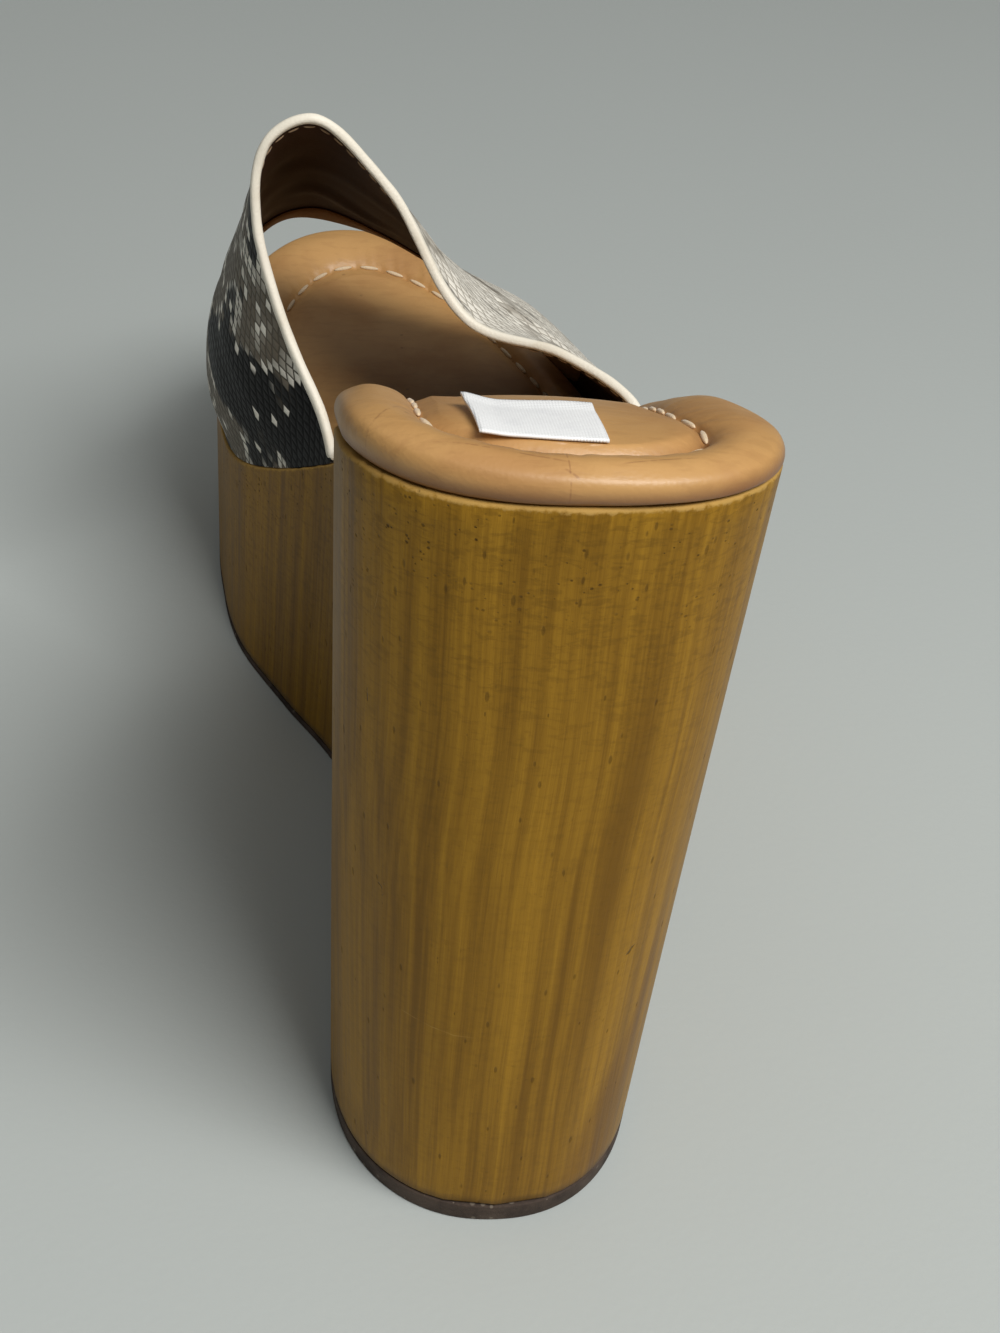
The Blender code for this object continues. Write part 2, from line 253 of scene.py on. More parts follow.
def spline(points, count, trim=0):
    """Evenly spaced points on a centripetal Catmull-Rom curve, with trim spans left off each end."""
    points = np.array(points)
    padded = np.vstack([2 * points[0] - points[1], points, 2 * points[-1] - points[-2]])
    knots = np.r_[0.0, np.cumsum(np.sqrt(np.linalg.norm(np.diff(padded, axis=0), axis=1)))]
    fine = []
    for start in range(len(points) - 1):
        at = knots[start : start + 4]
        near = padded[start : start + 4]
        for t in np.linspace(at[1], at[2], SPLINE_STEPS, endpoint=False):
            pairs = [mix(near[i], near[i + 1], (t - at[i]) / (at[i + 1] - at[i])) for i in range(3)]
            first, last = (mix(pairs[i], pairs[i + 1], (t - at[i]) / (at[i + 2] - at[i])) for i in range(2))
            fine.append(mix(first, last, (t - at[1]) / (at[2] - at[1])))
    fine.append(points[-1])
    left_off = trim * SPLINE_STEPS
    fine = np.array(fine)[left_off : len(fine) - left_off]
    run = arc_run(fine)
    return read_columns(np.linspace(0.0, run[-1], count), run, fine)


def fade(value, start, end):
    """Rises from 0 to 1 between the two places of start and falls back between those of end."""
    return smoothstep(*start, value) * (1.0 - smoothstep(*end, value))


def bell(distance, width):
    return np.exp(-((distance / width) ** 2))


def all_round(lateral, medial=None):
    """Values along the lateral side from heel to toe and then back along the medial side."""
    medial = lateral if medial is None else medial
    return np.concatenate([lateral, medial[-2:0:-1]])


def ripple(run, wave):
    """An uneven wave between about -1 and 1 along a length, always the same."""
    turn = 2.0 * math.pi * np.asarray(run) / wave
    return (np.sin(turn) + 0.7 * np.sin(0.618 * turn + 1.3) + 0.5 * np.sin(1.47 * turn + 0.4)) / 2.2


# --- Mesh helpers


def frame_shift():
    """From the maker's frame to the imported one, in millimetres."""
    ys = np.linspace(TREAD_START, LENGTH, num=400)
    own_side = float(np.max(plan_x(ys, 1.0, 0.0)))
    packed_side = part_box("outsole")[1].x / MM
    packed_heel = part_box("wood_sole")[0].y / MM
    return Vector((packed_side - own_side, packed_heel, 0.0))


SHIFT = frame_shift()


def place(verts, points):
    for vert, point in zip(verts, points):
        vert.co = point


def loft(bm, sections):
    """A tube through rings of as many points each, grown ring by ring from a circle."""
    made = bmesh.ops.create_circle(bm, segments=len(sections[0]), radius=1.0)["verts"]
    ring = in_order(made)
    place(ring, sections[0])
    rings = [ring]
    for section in sections[1:]:
        loop = [bm.edges.get(pair) for pair in zip(ring, ring[1:] + ring[:1])]
        grown = set(bmesh.ops.extrude_edge_only(bm, edges=loop)["geom"])
        ring = [
            next(edge.other_vert(vert) for edge in vert.link_edges if edge.other_vert(vert) in grown)
            for vert in ring
        ]
        place(ring, section)
        rings.append(ring)
    return rings


def in_order(verts):
    """The verts of a circle, each next to the one it is joined to."""
    ring = [verts[0]]
    wanted = set(verts)
    while len(ring) < len(verts):
        last = ring[-1]
        ahead = [edge.other_vert(last) for edge in last.link_edges]
        fresh = [vert for vert in ahead if vert in wanted and vert not in ring[-2:]]
        ring.append(fresh[0])
    return ring


def chains(ring, count, closed_back):
    """A ring's lateral and medial points, both from the heel to the toe."""
    lateral = ring[:count]
    medial = ring[: int(closed_back)] + ring[: count - 1 : -1]
    if len(medial) < count:
        medial = medial + [ring[count - 1]]
    return lateral, medial


def close_across(bm, ring, count, closed_back=True, cuts=0):
    """Closes a ring with strips from side to side; cuts divide them lengthwise and come back as verts."""
    lateral, medial = chains(ring, count, closed_back)
    sides = [bm.edges.get(pair) for chain in (lateral, medial) for pair in zip(chain, chain[1:])]
    shared = set(lateral) & set(medial)
    apart = [edge for edge in sides if not shared & set(edge.verts)]
    strips = bmesh.ops.bridge_loops(bm, edges=apart)["faces"]
    rim = [edge for edge in sides if edge not in apart]
    rim += [edge for face in strips for edge in face.edges if edge.is_boundary]
    if rim:
        strips += bmesh.ops.holes_fill(bm, edges=list(dict.fromkeys(rim)), sides=4)["faces"]
    if not cuts:
        return []
    rows = set(lateral), set(medial)
    around = [edge for face in strips for edge in face.edges]
    across = [edge for edge in dict.fromkeys(around) if not any(set(edge.verts) <= row for row in rows)]
    made = bmesh.ops.subdivide_edges(bm, edges=across, cuts=cuts, use_grid_fill=True)
    return [item for item in made["geom_inner"] if isinstance(item, bmesh.types.BMVert)]


def add_object(name, data):
    obj = bpy.data.objects.new(name, data)
    bpy.context.scene.collection.objects.link(obj)
    return obj


WELD = 1e-4  # points this near to each other become one
SHARP_FROM = math.radians(50)


def finish(bm, name):
    """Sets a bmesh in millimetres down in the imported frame, as a smooth object that rides on the shoe."""
    bmesh.ops.remove_doubles(bm, verts=bm.verts, dist=WELD)
    bmesh.ops.recalc_face_normals(bm, faces=bm.faces)
    bmesh.ops.translate(bm, vec=SHIFT, verts=bm.verts)
    bmesh.ops.scale(bm, vec=(MM, MM, MM), verts=bm.verts)
    mesh = bpy.data.meshes.new(name)
    bm.to_mesh(mesh)
    bm.free()
    mesh.shade_smooth()
    mesh.set_sharp_from_angle(angle=SHARP_FROM)
    obj = add_object(name, mesh)
    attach(obj, "root")
    return obj


def closed_loft(name, sections, close):
    """A finished piece through rings of points; close takes the mesh and an end ring."""
    bm = bmesh.new()
    rings = loft(bm, sections)
    for ring in (rings[0], rings[-1]):
        close(bm, ring)
    return finish(bm, name)


FINE_POINTS = 3001  # points at which a length along the plan's edge is measured


def even_shares(back, front, level, steps):
    """Shares of the way between two places whose points lie evenly spaced along the plan's edge."""
    fine = (1.0 - np.cos(np.linspace(0.0, math.pi, FINE_POINTS))) / 2.0
    y = mix(back, front, fine)
    run = arc_run(np.column_stack([y, half_width(y, level)]))
    return np.interp(np.linspace(0.0, run[-1], steps + 1), run, fine)


END_REACH = 0.16  # share of the length over which an inset moves points along the foot


def heel_pull(share):
    return 1.0 - smoothstep(0.0, END_REACH, share)


def end_pull(share):
    """How much of an inset moves a point along the foot: 1 forward at the heel, -1 at the toe, 0 between."""
    return heel_pull(share) - smoothstep(1.0 - END_REACH, 1.0, share)


EDGE_POINTS = 4


def rounded_edge(radius):
    """Insets and heights along a rounded edge, from the level face to the upright one."""
    turns = np.linspace(0.0, math.pi / 2, EDGE_POINTS)
    return [(radius * (1 - math.sin(turn)), radius * (1 - math.cos(turn))) for turn in turns]


def maker_coords(obj):
    """The vertices of a piece in millimetres in the maker's frame."""
    values = np.empty(len(obj.data.vertices) * 3)
    obj.data.vertices.foreach_get("co", values)
    return values.reshape(-1, 3) / MM - np.array(SHIFT)


def unwrap(obj, read):
    """Writes the piece's own UV map, in metres; read gives u and v for face centres and vertex indices."""
    mesh = obj.data
    corners = np.empty(len(mesh.loops), np.int32)
    mesh.loops.foreach_get("vertex_index", corners)
    sides = np.empty(len(mesh.polygons), np.int32)
    mesh.polygons.foreach_get("loop_total", sides)
    centres = np.empty(len(mesh.polygons) * 3)
    mesh.polygons.foreach_get("center", centres)
    centres = np.repeat(centres.reshape(-1, 3) / MM - np.array(SHIFT), sides, axis=0)
    layer = mesh.uv_layers.new(name="surface")
    layer.data.foreach_set("uv", np.column_stack(read(centres, corners)).ravel())


def store(obj, name, values, kind="FLOAT", socket="value"):
    made = obj.data.attributes.new(name, kind, "POINT")
    made.data.foreach_set(socket, np.asarray(values, np.float32).ravel())


def dress(obj, material):
    obj.data.materials.append(material)


# --- Shader helpers


def display(red, green, blue):
    """A colour as a screen shows it, 0 to 255, made linear for a shader."""
    shares = [part / 255.0 for part in (red, green, blue)]
    return [share / 12.92 if share <= 0.04045 else ((share + 0.055) / 1.055) ** 2.4 for share in shares]


# Depths of the reliefs, in metres
WOOD_PORES = 0.00007
RUBBER_GRIT = 0.00018
FOOTBED_PEBBLES = 0.00003
LINING_PEBBLES = 0.00007
BINDING_PEBBLES = 0.00005
THREAD_FUZZ = 0.0001
WEAVE = 0.00006
FLOOR_GRIT = 0.00004

Scratch = namedtuple("Scratch", "place angle length width bow")


class Nodes:
    """Adds nodes to a tree, with their sockets set or linked by name."""

    def __init__(self, tree):
        self.tree = tree

    def add(self, kind, sockets=None, **facts):
        node = self.tree.nodes.new(kind)
        for fact, value in facts.items():
            setattr(node, fact, value)
        self.set_all(node, sockets or {})
        return node

    def set_all(self, node, sockets):
        for socket, value in sockets.items():
            self.set(node.inputs[socket], value)

    def set(self, socket, value):
        if isinstance(value, bpy.types.NodeSocket):
            self.tree.links.new(value, socket)
        elif socket.type == "RGBA" and len(value) == 3:
            socket.default_value = (*value, 1.0)
        else:
            socket.default_value = value

    def math(self, operation, first, second=0.0, third=0.0):
        return self.add("ShaderNodeMath", {0: first, 1: second, 2: third}, operation=operation).outputs[0]

    def times(self, first, second):
        return self.math("MULTIPLY", first, second)

    def times_plus(self, first, second, third):
        return self.math("MULTIPLY_ADD", first, second, third)

    def larger(self, first, second):
        return self.math("MAXIMUM", first, second)

    def vector(self, operation, first, sockets):
        return self.add("ShaderNodeVectorMath", {0: first, **sockets}, operation=operation).outputs[0]

    def parts(self, vector):
        return self.add("ShaderNodeSeparateXYZ", {"Vector": vector}).outputs

    def turned(self, vector, angle):
        sockets = {"Vector": vector, "Angle": angle}
        return self.add("ShaderNodeVectorRotate", sockets, rotation_type="Z_AXIS").outputs[0]

    def stretched(self, vector, scale, turn=0.0):
        sockets = {"Vector": vector, "Scale": scale, "Rotation": (0.0, 0.0, turn)}
        return self.add("ShaderNodeMapping", sockets).outputs[0]

    def ramp(self, value, low, high, first=0.0, last=1.0):
        """A smooth step of a value between two levels."""
        sockets = {"Value": value, "From Min": low, "From Max": high, "To Min": first, "To Max": last}
        return self.add("ShaderNodeMapRange", sockets, interpolation_type="SMOOTHSTEP").outputs["Result"]

    def blend(self, factor, first, second):
        return self.add("ShaderNodeMix", {0: factor, 6: first, 7: second}, data_type="RGBA").outputs[2]

    def tint(self, base, mask, amount, tone):
        return self.blend(self.times(mask, amount), base, tone)

    def noise(self, vector, scale, detail=2.0, roughness=0.5, distortion=0.0, output=0):
        sockets = {"Vector": vector, "Scale": scale, "Detail": detail, "Roughness": roughness}
        return self.add("ShaderNodeTexNoise", {**sockets, "Distortion": distortion}).outputs[output]

    def voronoi(self, vector, scale, randomness, **facts):
        sockets = {"Vector": vector, "Scale": scale, "Randomness": randomness}
        return self.add("ShaderNodeTexVoronoi", sockets, **facts).outputs

    def wave(self, vector, scale, distortion, axis):
        sockets = {"Vector": vector, "Scale": scale, "Distortion": distortion}
        return self.add("ShaderNodeTexWave", sockets, bands_direction=axis).outputs["Fac"]

    def attribute(self, name, output="Fac"):
        return self.add("ShaderNodeAttribute", attribute_name=name).outputs[output]

    def bump(self, height, distance):
        return self.add("ShaderNodeBump", {"Height": height, "Distance": distance}).outputs[0]

    def group(self, name, sockets):
        """A shared group, built the first time a material asks for it."""
        if name not in bpy.data.node_groups:
            GROUP_BUILDERS[name]()
        return self.add("ShaderNodeGroup", sockets, node_tree=bpy.data.node_groups[name]).outputs

    def leather(self, vector, pebbles, patches):
        """Height and tone of pebbled leather."""
        sockets = {"Vector": vector, "Pebbles per Metre": pebbles, "Patches per Metre": patches}
        made = self.group("Leather Grain", sockets)
        return made["Height"], made["Tone"]

    def specks(self, vector, per_metre, size_of, share):
        sockets = {"Vector": vector, "Specks per Metre": per_metre, "Size": size_of, "Share": share}
        return self.group("Specks", sockets)["Mask"]

    def scratch(self, vector, mark):
        sockets = {"Vector": vector, "Place": mark.place, "Angle": math.radians(mark.angle)}
        sockets.update({"Length": mark.length, "Width": mark.width, "Bow": mark.bow})
        return self.group("Scratch", sockets)["Mask"]

    def scratches(self, vector, marks):
        return reduce(self.larger, [self.scratch(vector, mark) for mark in marks])


class Material(Nodes):
    """A new material with its nodes, its Principled shader and the place on the piece."""

    def __init__(self, name, roughness, specular):
        self.made = bpy.data.materials.new(name)
        self.made.use_nodes = True
        super().__init__(self.made.node_tree)
        self.shader = self.tree.nodes["Principled BSDF"]
        self.place_on = self.add("ShaderNodeTexCoord").outputs["Object"]
        self.set_all(self.shader, {"Roughness": roughness, "Specular IOR Level": specular})

    def surface(self):
        return self.add("ShaderNodeUVMap", uv_map="surface").outputs["UV"]

    def paint(self, base, relief, depth, **others):
        """Links colour and bump, and other sockets named with underscores; returns the material."""
        self.set_all(self.shader, {"Base Color": base, "Normal": self.bump(relief, depth)})
        self.set_all(self.shader, {name.replace("_", " "): value for name, value in others.items()})
        return self.made


def shader_group(name, inputs, outputs):
    """An empty shader group with named sockets; returns its nodes, its inputs and its output node."""
    tree = bpy.data.node_groups.new(name, "ShaderNodeTree")
    for socket, default in {"Vector": None, **inputs}.items():
        vector = default is None
        kind = "NodeSocketVector" if vector else "NodeSocketFloat"
        made = tree.interface.new_socket(socket, in_out="INPUT", socket_type=kind)
        if not vector:
            made.default_value = default
    for socket in outputs:
        tree.interface.new_socket(socket, in_out="OUTPUT", socket_type="NodeSocketFloat")
    nodes = Nodes(tree)
    return nodes, nodes.add("NodeGroupInput").outputs, nodes.add("NodeGroupOutput")


def leather_grain_group():
    """Pebbled leather: a height for bump and a slow drift of tone."""
    inputs = {"Pebbles per Metre": 1500.0, "Patches per Metre": 70.0}
    nodes, given, out = shader_group("Leather Grain", inputs, ("Height", "Tone"))
    vector, pebbles = given["Vector"], given["Pebbles per Metre"]
    rounds = nodes.voronoi(vector, pebbles, 0.9, feature="SMOOTH_F1")["Distance"]
    fine = nodes.noise(vector, nodes.times(pebbles, 2.6))
    height = nodes.times_plus(fine, 0.35, nodes.math("SUBTRACT", 1.0, rounds))
    tone = nodes.noise(vector, given["Patches per Metre"], 4.0, 0.6, 0.3)
    nodes.set_all(out, {"Height": height, "Tone": tone})


def scratch_group():
    """One long, slightly bowed scratch at a place on the surface."""
    inputs = {"Place": None, "Angle": 0.0, "Length": 0.01, "Width": 0.0003, "Bow": 0.0}
    nodes, given, out = shader_group("Scratch", inputs, ("Mask",))
    from_place = nodes.vector("SUBTRACT", given["Vector"], {1: given["Place"]})
    turned = nodes.parts(nodes.turned(from_place, given["Angle"]))
    share = nodes.math("DIVIDE", turned["X"], given["Length"])
    squared = nodes.times(share, share)
    bowed = nodes.times_plus(squared, given["Bow"], turned["Y"])
    side = nodes.math("DIVIDE", nodes.math("ABSOLUTE", bowed), given["Width"])
    across = nodes.ramp(side, 0.3, 1.0, 1.0, 0.0)
    lengthwise = nodes.ramp(squared, 0.1, 0.25, 1.0, 0.0)
    ragged = nodes.ramp(nodes.noise(given["Vector"], 900.0), 0.35, 0.55)
    nodes.set_all(out, {"Mask": nodes.times(nodes.times(across, lengthwise), ragged)})


def specks_group():
    """Scattered small specks of grime, pits or dust."""
    inputs = {"Specks per Metre": 400.0, "Size": 0.2, "Share": 0.5}
    nodes, given, out = shader_group("Specks", inputs, ("Mask",))
    cells = nodes.voronoi(given["Vector"], given["Specks per Metre"], 1.0)
    pick = nodes.add("ShaderNodeSeparateColor", {"Color": cells["Color"]}).outputs
    kept = nodes.math("LESS_THAN", pick[0], given["Share"])
    size_of = nodes.times(nodes.math("ADD", pick[1], 0.35), given["Size"])
    near = nodes.math("SUBTRACT", 1.0, nodes.math("DIVIDE", cells["Distance"], size_of))
    nodes.set_all(out, {"Mask": nodes.times(kept, nodes.ramp(near, 0.0, 0.5))})


GROUP_BUILDERS = {"Leather Grain": leather_grain_group, "Scratch": scratch_group, "Specks": specks_group}


# --- Settings


def colour(name, description, default):
    facts = {"subtype": "COLOR", "size": 3, "min": 0.0, "max": 1.0, "default": display(*default)}
    return FloatVectorProperty(name=name, description=description, **facts)


def number(name, description, default, **facts):
    return FloatProperty(name=name, description=description, min=0.0, default=default, **facts)


def size(name, description, default):
    return number(name, description, default * MM, unit="LENGTH", precision=5)


class SandalWood(bpy.types.PropertyGroup):
    light: colour("Light grain", "Wood between the growth lines", (168, 124, 34))
    dark: colour("Dark grain", "Wood in the growth lines", (120, 84, 18))
    worn: colour("Worn edge", "Bare wood where the varnish is rubbed off", (186, 148, 82))
    stripe: size("Stripe width", "Width of the growth lines", 2.4)
    edge: size("Edge radius", "Rounding of the wood's edges", 0.5)


class SandalRubber(bpy.types.PropertyGroup):
    tone: colour("Rubber", "Heel tap and outsole", (84, 70, 60))
    edge: size("Edge radius", "Rounding of the rubber's edges", 0.35)


class SandalFootbed(bpy.types.PropertyGroup):
    leather: colour("Leather", "Tan leather of the footbed", (192, 147, 90))
    handled: colour("Handled leather", "Leather darkened by wear", (150, 98, 52))
    thread: colour("Thread", "Stitching round the footbed", (226, 202, 166))
    pitch: size("Stitch pitch", "From one stitch to the next", 5.6)
    stitch: size("Stitch length", "Length of a stitch that shows", 3.9)
    thickness: size("Thread thickness", "Thickness of the thread", 0.82)
    pucker: size("Pucker depth", "Depth of the folds where the rolled rim turns", 0.1)


class SandalBand(bpy.types.PropertyGroup):
    ground: colour("Pale scales", "Cream scales of the snakeskin print", (246, 240, 226))
    taupe: colour("Taupe scales", "Grey-brown scales of the snakeskin print", (120, 110, 95))
    black: colour("Black scales", "Blotches of the snakeskin print", (9, 8, 8))
    lining: colour("Lining", "Brown lining leather", (52, 26, 14))
    # The hem's colour is a painted highlight: the lining leather made lighter to stand in for light catching
    # its turned edge
    painted_highlight_hem: colour("Lining hem painted highlight", "Turned edge of the lining, lighter as a painted highlight", (146, 102, 56))
    scale_across: size("Scale length", "Length of a scale over the instep", 3.3)
    scale_along: size("Scale width", "Width of a scale along the foot", 2.2)
    blotch: size("Blotch size", "Size of the black blotches", 21.0)
    relief: size("Scale relief", "How far the scales stand up", 0.08)


class SandalTrim(bpy.types.PropertyGroup):
    binding: colour("Binding", "Cream binding of the collar", (240, 232, 214))
    binding_width: size("Binding width", "Width of the binding seen from the side", 1.85)
    binding_thickness: size("Binding thickness", "Thickness of the binding over the wall", 1.65)
    thread: colour("Lining thread", "Thread beside the binding", (176, 146, 112))
    pitch: size("Lining stitch pitch", "From one lining stitch to the next", 2.8)
    label: colour("Label", "Blank woven label on the heel pad", (244, 244, 242))
    label_side: size("Label side", "Side of the nearly square label", 14.2)


class SandalStudio(bpy.types.PropertyGroup):
    floor: colour("Floor", "Pale studio floor", (186, 191, 187))
    key_power: number("Key power", "Power of the large soft light", 12.5, unit="POWER")
    fill_power: number("Fill power", "Power of the wide light above", 40.0, unit="POWER")
    sky: number("Sky", "Strength of the even light all round", 0.09)
    backdrop: number("Backdrop", "Brightness behind the floor", 0.26)
    lens: number("Lens", "Focal length", 58.26, unit="CAMERA")
    ring_points: IntProperty(name="Ring points", description="Points round each ring", min=64, default=420)


GROUPS = {
    "sandal_wood": SandalWood,
    "sandal_rubber": SandalRubber,
    "sandal_footbed": SandalFootbed,
    "sandal_band": SandalBand,
    "sandal_trim": SandalTrim,
    "sandal_studio": SandalStudio,
}


# --- Wood

CORNER_RADIUS = 1.2  # of the arch's two lower corners
CORNER_STEPS = 5
ARCH_STEPS = 14
CORNER_CLEAR = 0.25  # even points keep this share of a step away from the corners' own points
WOOD_ROUNDS = 6  # after these a point's place along the foot and its height agree


def arch_profile():
    """Underside of the wood between heel and platform, as points from the heel forward."""
    sole = TREAD_THICK + GAP
    tap = TAP_THICK + GAP
    start = (TREAD_START, sole)
    breast = (BREAST_Y, tap)
    heel_corner = fillet((0.0, tap), breast, ARCH_PEAK, CORNER_RADIUS, CORNER_STEPS)
    top = fillet(breast, ARCH_PEAK, start, ARCH_RADIUS, ARCH_STEPS)
    toe_corner = fillet(ARCH_PEAK, start, (LENGTH, sole), CORNER_RADIUS, CORNER_STEPS)
    return np.vstack([heel_corner, top, toe_corner])


def wood_underside(y):
    arch_y, arch_z = arch_profile().T
    tread = tread_z(y) + TREAD_THICK + GAP
    return np.select([y < arch_y[0], y > arch_y[-1]], [TAP_THICK + GAP, tread], np.interp(y, arch_y, arch_z))


def wood_half_ring(shares, side, lift, inset):
    """Points of half a ring of the block; lift is 0 along the underside and 1 along the seat."""
    y = shares * LENGTH
    for _ in range(WOOD_ROUNDS):
        z = mix(wood_underside(y), seat_z(y), lift)
        level = z / HEEL_HEIGHT
        y = mix(mix(HEEL_LEAN, 0.0, level), LENGTH, shares) + inset * end_pull(shares)
    return np.column_stack([plan_x(y, side, level, inset), y, z])


def wood_shares(steps):
    even = even_shares(0.0, LENGTH, 0.5, steps)
    bends = arch_profile()
    backs = HEEL_LEAN * (1.0 - bends[:, 1] / HEEL_HEIGHT)
    corners = (bends[:, 0] - backs) / (LENGTH - backs)
    far = [share for share in even if np.min(np.abs(corners - share)) > CORNER_CLEAR / steps]
    return np.sort(np.r_[far, corners])


def wood_section(shares, lift, inset, drop):
    """A whole ring of the block, moved down by drop from its place between underside and seat."""
    ring = all_round(*(wood_half_ring(shares, side, lift, inset) for side in (1.0, -1.0)))
    ring[:, 2] -= drop
    return ring


CHIPS = ((0.10, 3.1), (0.07, 1.27))  # depths and lengths of the chips along the rim
CHIP_LEAST = 0.3  # share of these depths where the rim's rounding begins
CHIP_DROP = 0.05  # how far the worn rim lies lower
WOOD_CORE = (0.03, 0.97, 22)  # lowest and highest ring between the rounded edges, and their count
UNDER_FOOTBED = 3.0  # how far the top closes in under the footbed


def uneven(run, waves):
    return sum(depth * ripple(run, length) for depth, length in waves)


def build_wood(settings):
    shares = wood_shares(bpy.context.scene.sandal_studio.ring_points // 2)
    radius = settings.edge / MM
    edge = rounded_edge(radius)
    sections = [wood_section(shares, 0.0, inset, -rise) for inset, rise in edge]
    sections += [wood_section(shares, lift, 0.0, 0.0) for lift in np.linspace(*WOOD_CORE)]
    chips = uneven(arc_run(sections[-1]), CHIPS)
    for inset, rise in reversed(edge):
        ring = wood_section(shares, 1.0, inset, rise)
        ring[:, 2] += chips * (CHIP_LEAST + inset / radius) - CHIP_DROP
        sections.append(ring)
    sections.append(wood_section(shares, 1.0, UNDER_FOOTBED, 0.0))
    return closed_loft("wood_block", sections, lambda bm, ring: close_across(bm, ring, len(shares)))


def wood_surface(obj):
    """Edge distances, a map round the block from the middle of the heel's back, and a place for the grain."""
    x, y, z = maker_coords(obj).T
    store(obj, "below_rim", seat_z(y) - z)
    store(obj, "above_base", z - wood_underside(y))
    level = np.clip(z / HEEL_HEIGHT, 0.0, 1.0)
    back = mix(HEEL_LEAN, 0.0, level)
    even_y = (y - back) / (LENGTH - back) * LENGTH
    half = np.maximum(mix(floor_half(y), rim_half(y), level), 1.0)
    even_x = (x - mix(floor_centre(y), rim_centre(y), level)) / half * rim_half(even_y)
    store(obj, "grain", np.column_stack([even_x, even_y, z]) * MM, "FLOAT_VECTOR", "vector")
    line = np.linspace(0.0, LENGTH, num=2000)
    run = arc_run(np.column_stack([line, half_width(line, 0.5)]))

    def read(centres, corners):
        side = np.where(centres[:, 0] >= rim_centre(centres[:, 1]), 1.0, -1.0)
        return side * np.interp(even_y[corners], line, run) * MM, z[corners] * MM

    unwrap(obj, read)


# Broad bands, stripes, thin lines and fibres: how much they are drawn out, how much finer, how rough
WOOD_LINES = ((0.10, 0.22, 0.5), (0.016, 1.0, 0.55), (0.006, 3.6, 0.6), (0.02, 12.0, 0.7))


def wood_grain(nodes, stripe):
    """Growth lines drawn out upwards: the share of light wood, the stripes and the fine relief."""
    along = nodes.attribute("grain", "Vector")
    drift = nodes.vector("SCALE", nodes.noise(along, 14.0, 1.0, output="Color"), {"Scale": 0.0035})
    bent = nodes.vector("ADD", along, {1: drift})
    broad, stripes, lines, fibres = (
        nodes.noise(nodes.stretched(bent, (1.0, 1.0, height)), finer / stripe, 2.0, roughness)
        for height, finer, roughness in WOOD_LINES
    )
    coarse = nodes.times_plus(broad, 0.40, nodes.times(stripes, 0.72))
    fine = nodes.times_plus(lines, 0.42, nodes.times(fibres, 0.2))
    light = nodes.ramp(nodes.math("ADD", coarse, fine), 0.60, 1.15)
    return light, stripes, nodes.times_plus(fibres, 0.35, nodes.times(lines, 0.5))


def heartwood(nodes, uv):
    """Darker wood low on the heel, to one side of a line that bends away as it rises."""
    spread = nodes.parts(uv)
    around, up = spread["X"], spread["Y"]
    bound = nodes.times_plus(nodes.times(up, up), 3.0, 0.002)
    beyond = nodes.ramp(nodes.math("SUBTRACT", around, bound), -0.0008, 0.0012)
    low = nodes.times(nodes.ramp(up, 0.045, 0.075, 1.0, 0.0), nodes.ramp(around, 0.016, 0.028, 1.0, 0.0))
    return nodes.times(beyond, low)


# Places round the block and up it, lengths, widths and bows in metres; angles in degrees
PALE_SCRATCHES = (
    Scratch((-0.0145, 0.1215, 0.0), -62.0, 0.011, 0.00022, -0.0026),
    Scratch((0.0105, 0.1000, 0.0), 84.0, 0.007, 0.00016, 0.0),
    Scratch((-0.0030, 0.0460, 0.0), 20.0, 0.005, 0.00016, 0.0006),
)
DARK_SCRATCHES = (
    Scratch((-0.0130, 0.0700, 0.0), 10.0, 0.0050, 0.00022, 0.0005),
    Scratch((-0.0100, 0.0685, 0.0), -8.0, 0.0040, 0.00018, -0.0004),
    Scratch((-0.0080, 0.0712, 0.0), 35.0, 0.0028, 0.00018, 0.0),
    Scratch((0.0040, 0.0605, 0.0), -70.0, 0.0020, 0.00024, 0.0),
    Scratch((-0.0200, 0.1030, 0.0), 88.0, 0.0030, 0.00026, 0.0),
    Scratch((0.0150, 0.0850, 0.0), 70.0, 0.0024, 0.00020, 0.0),
)


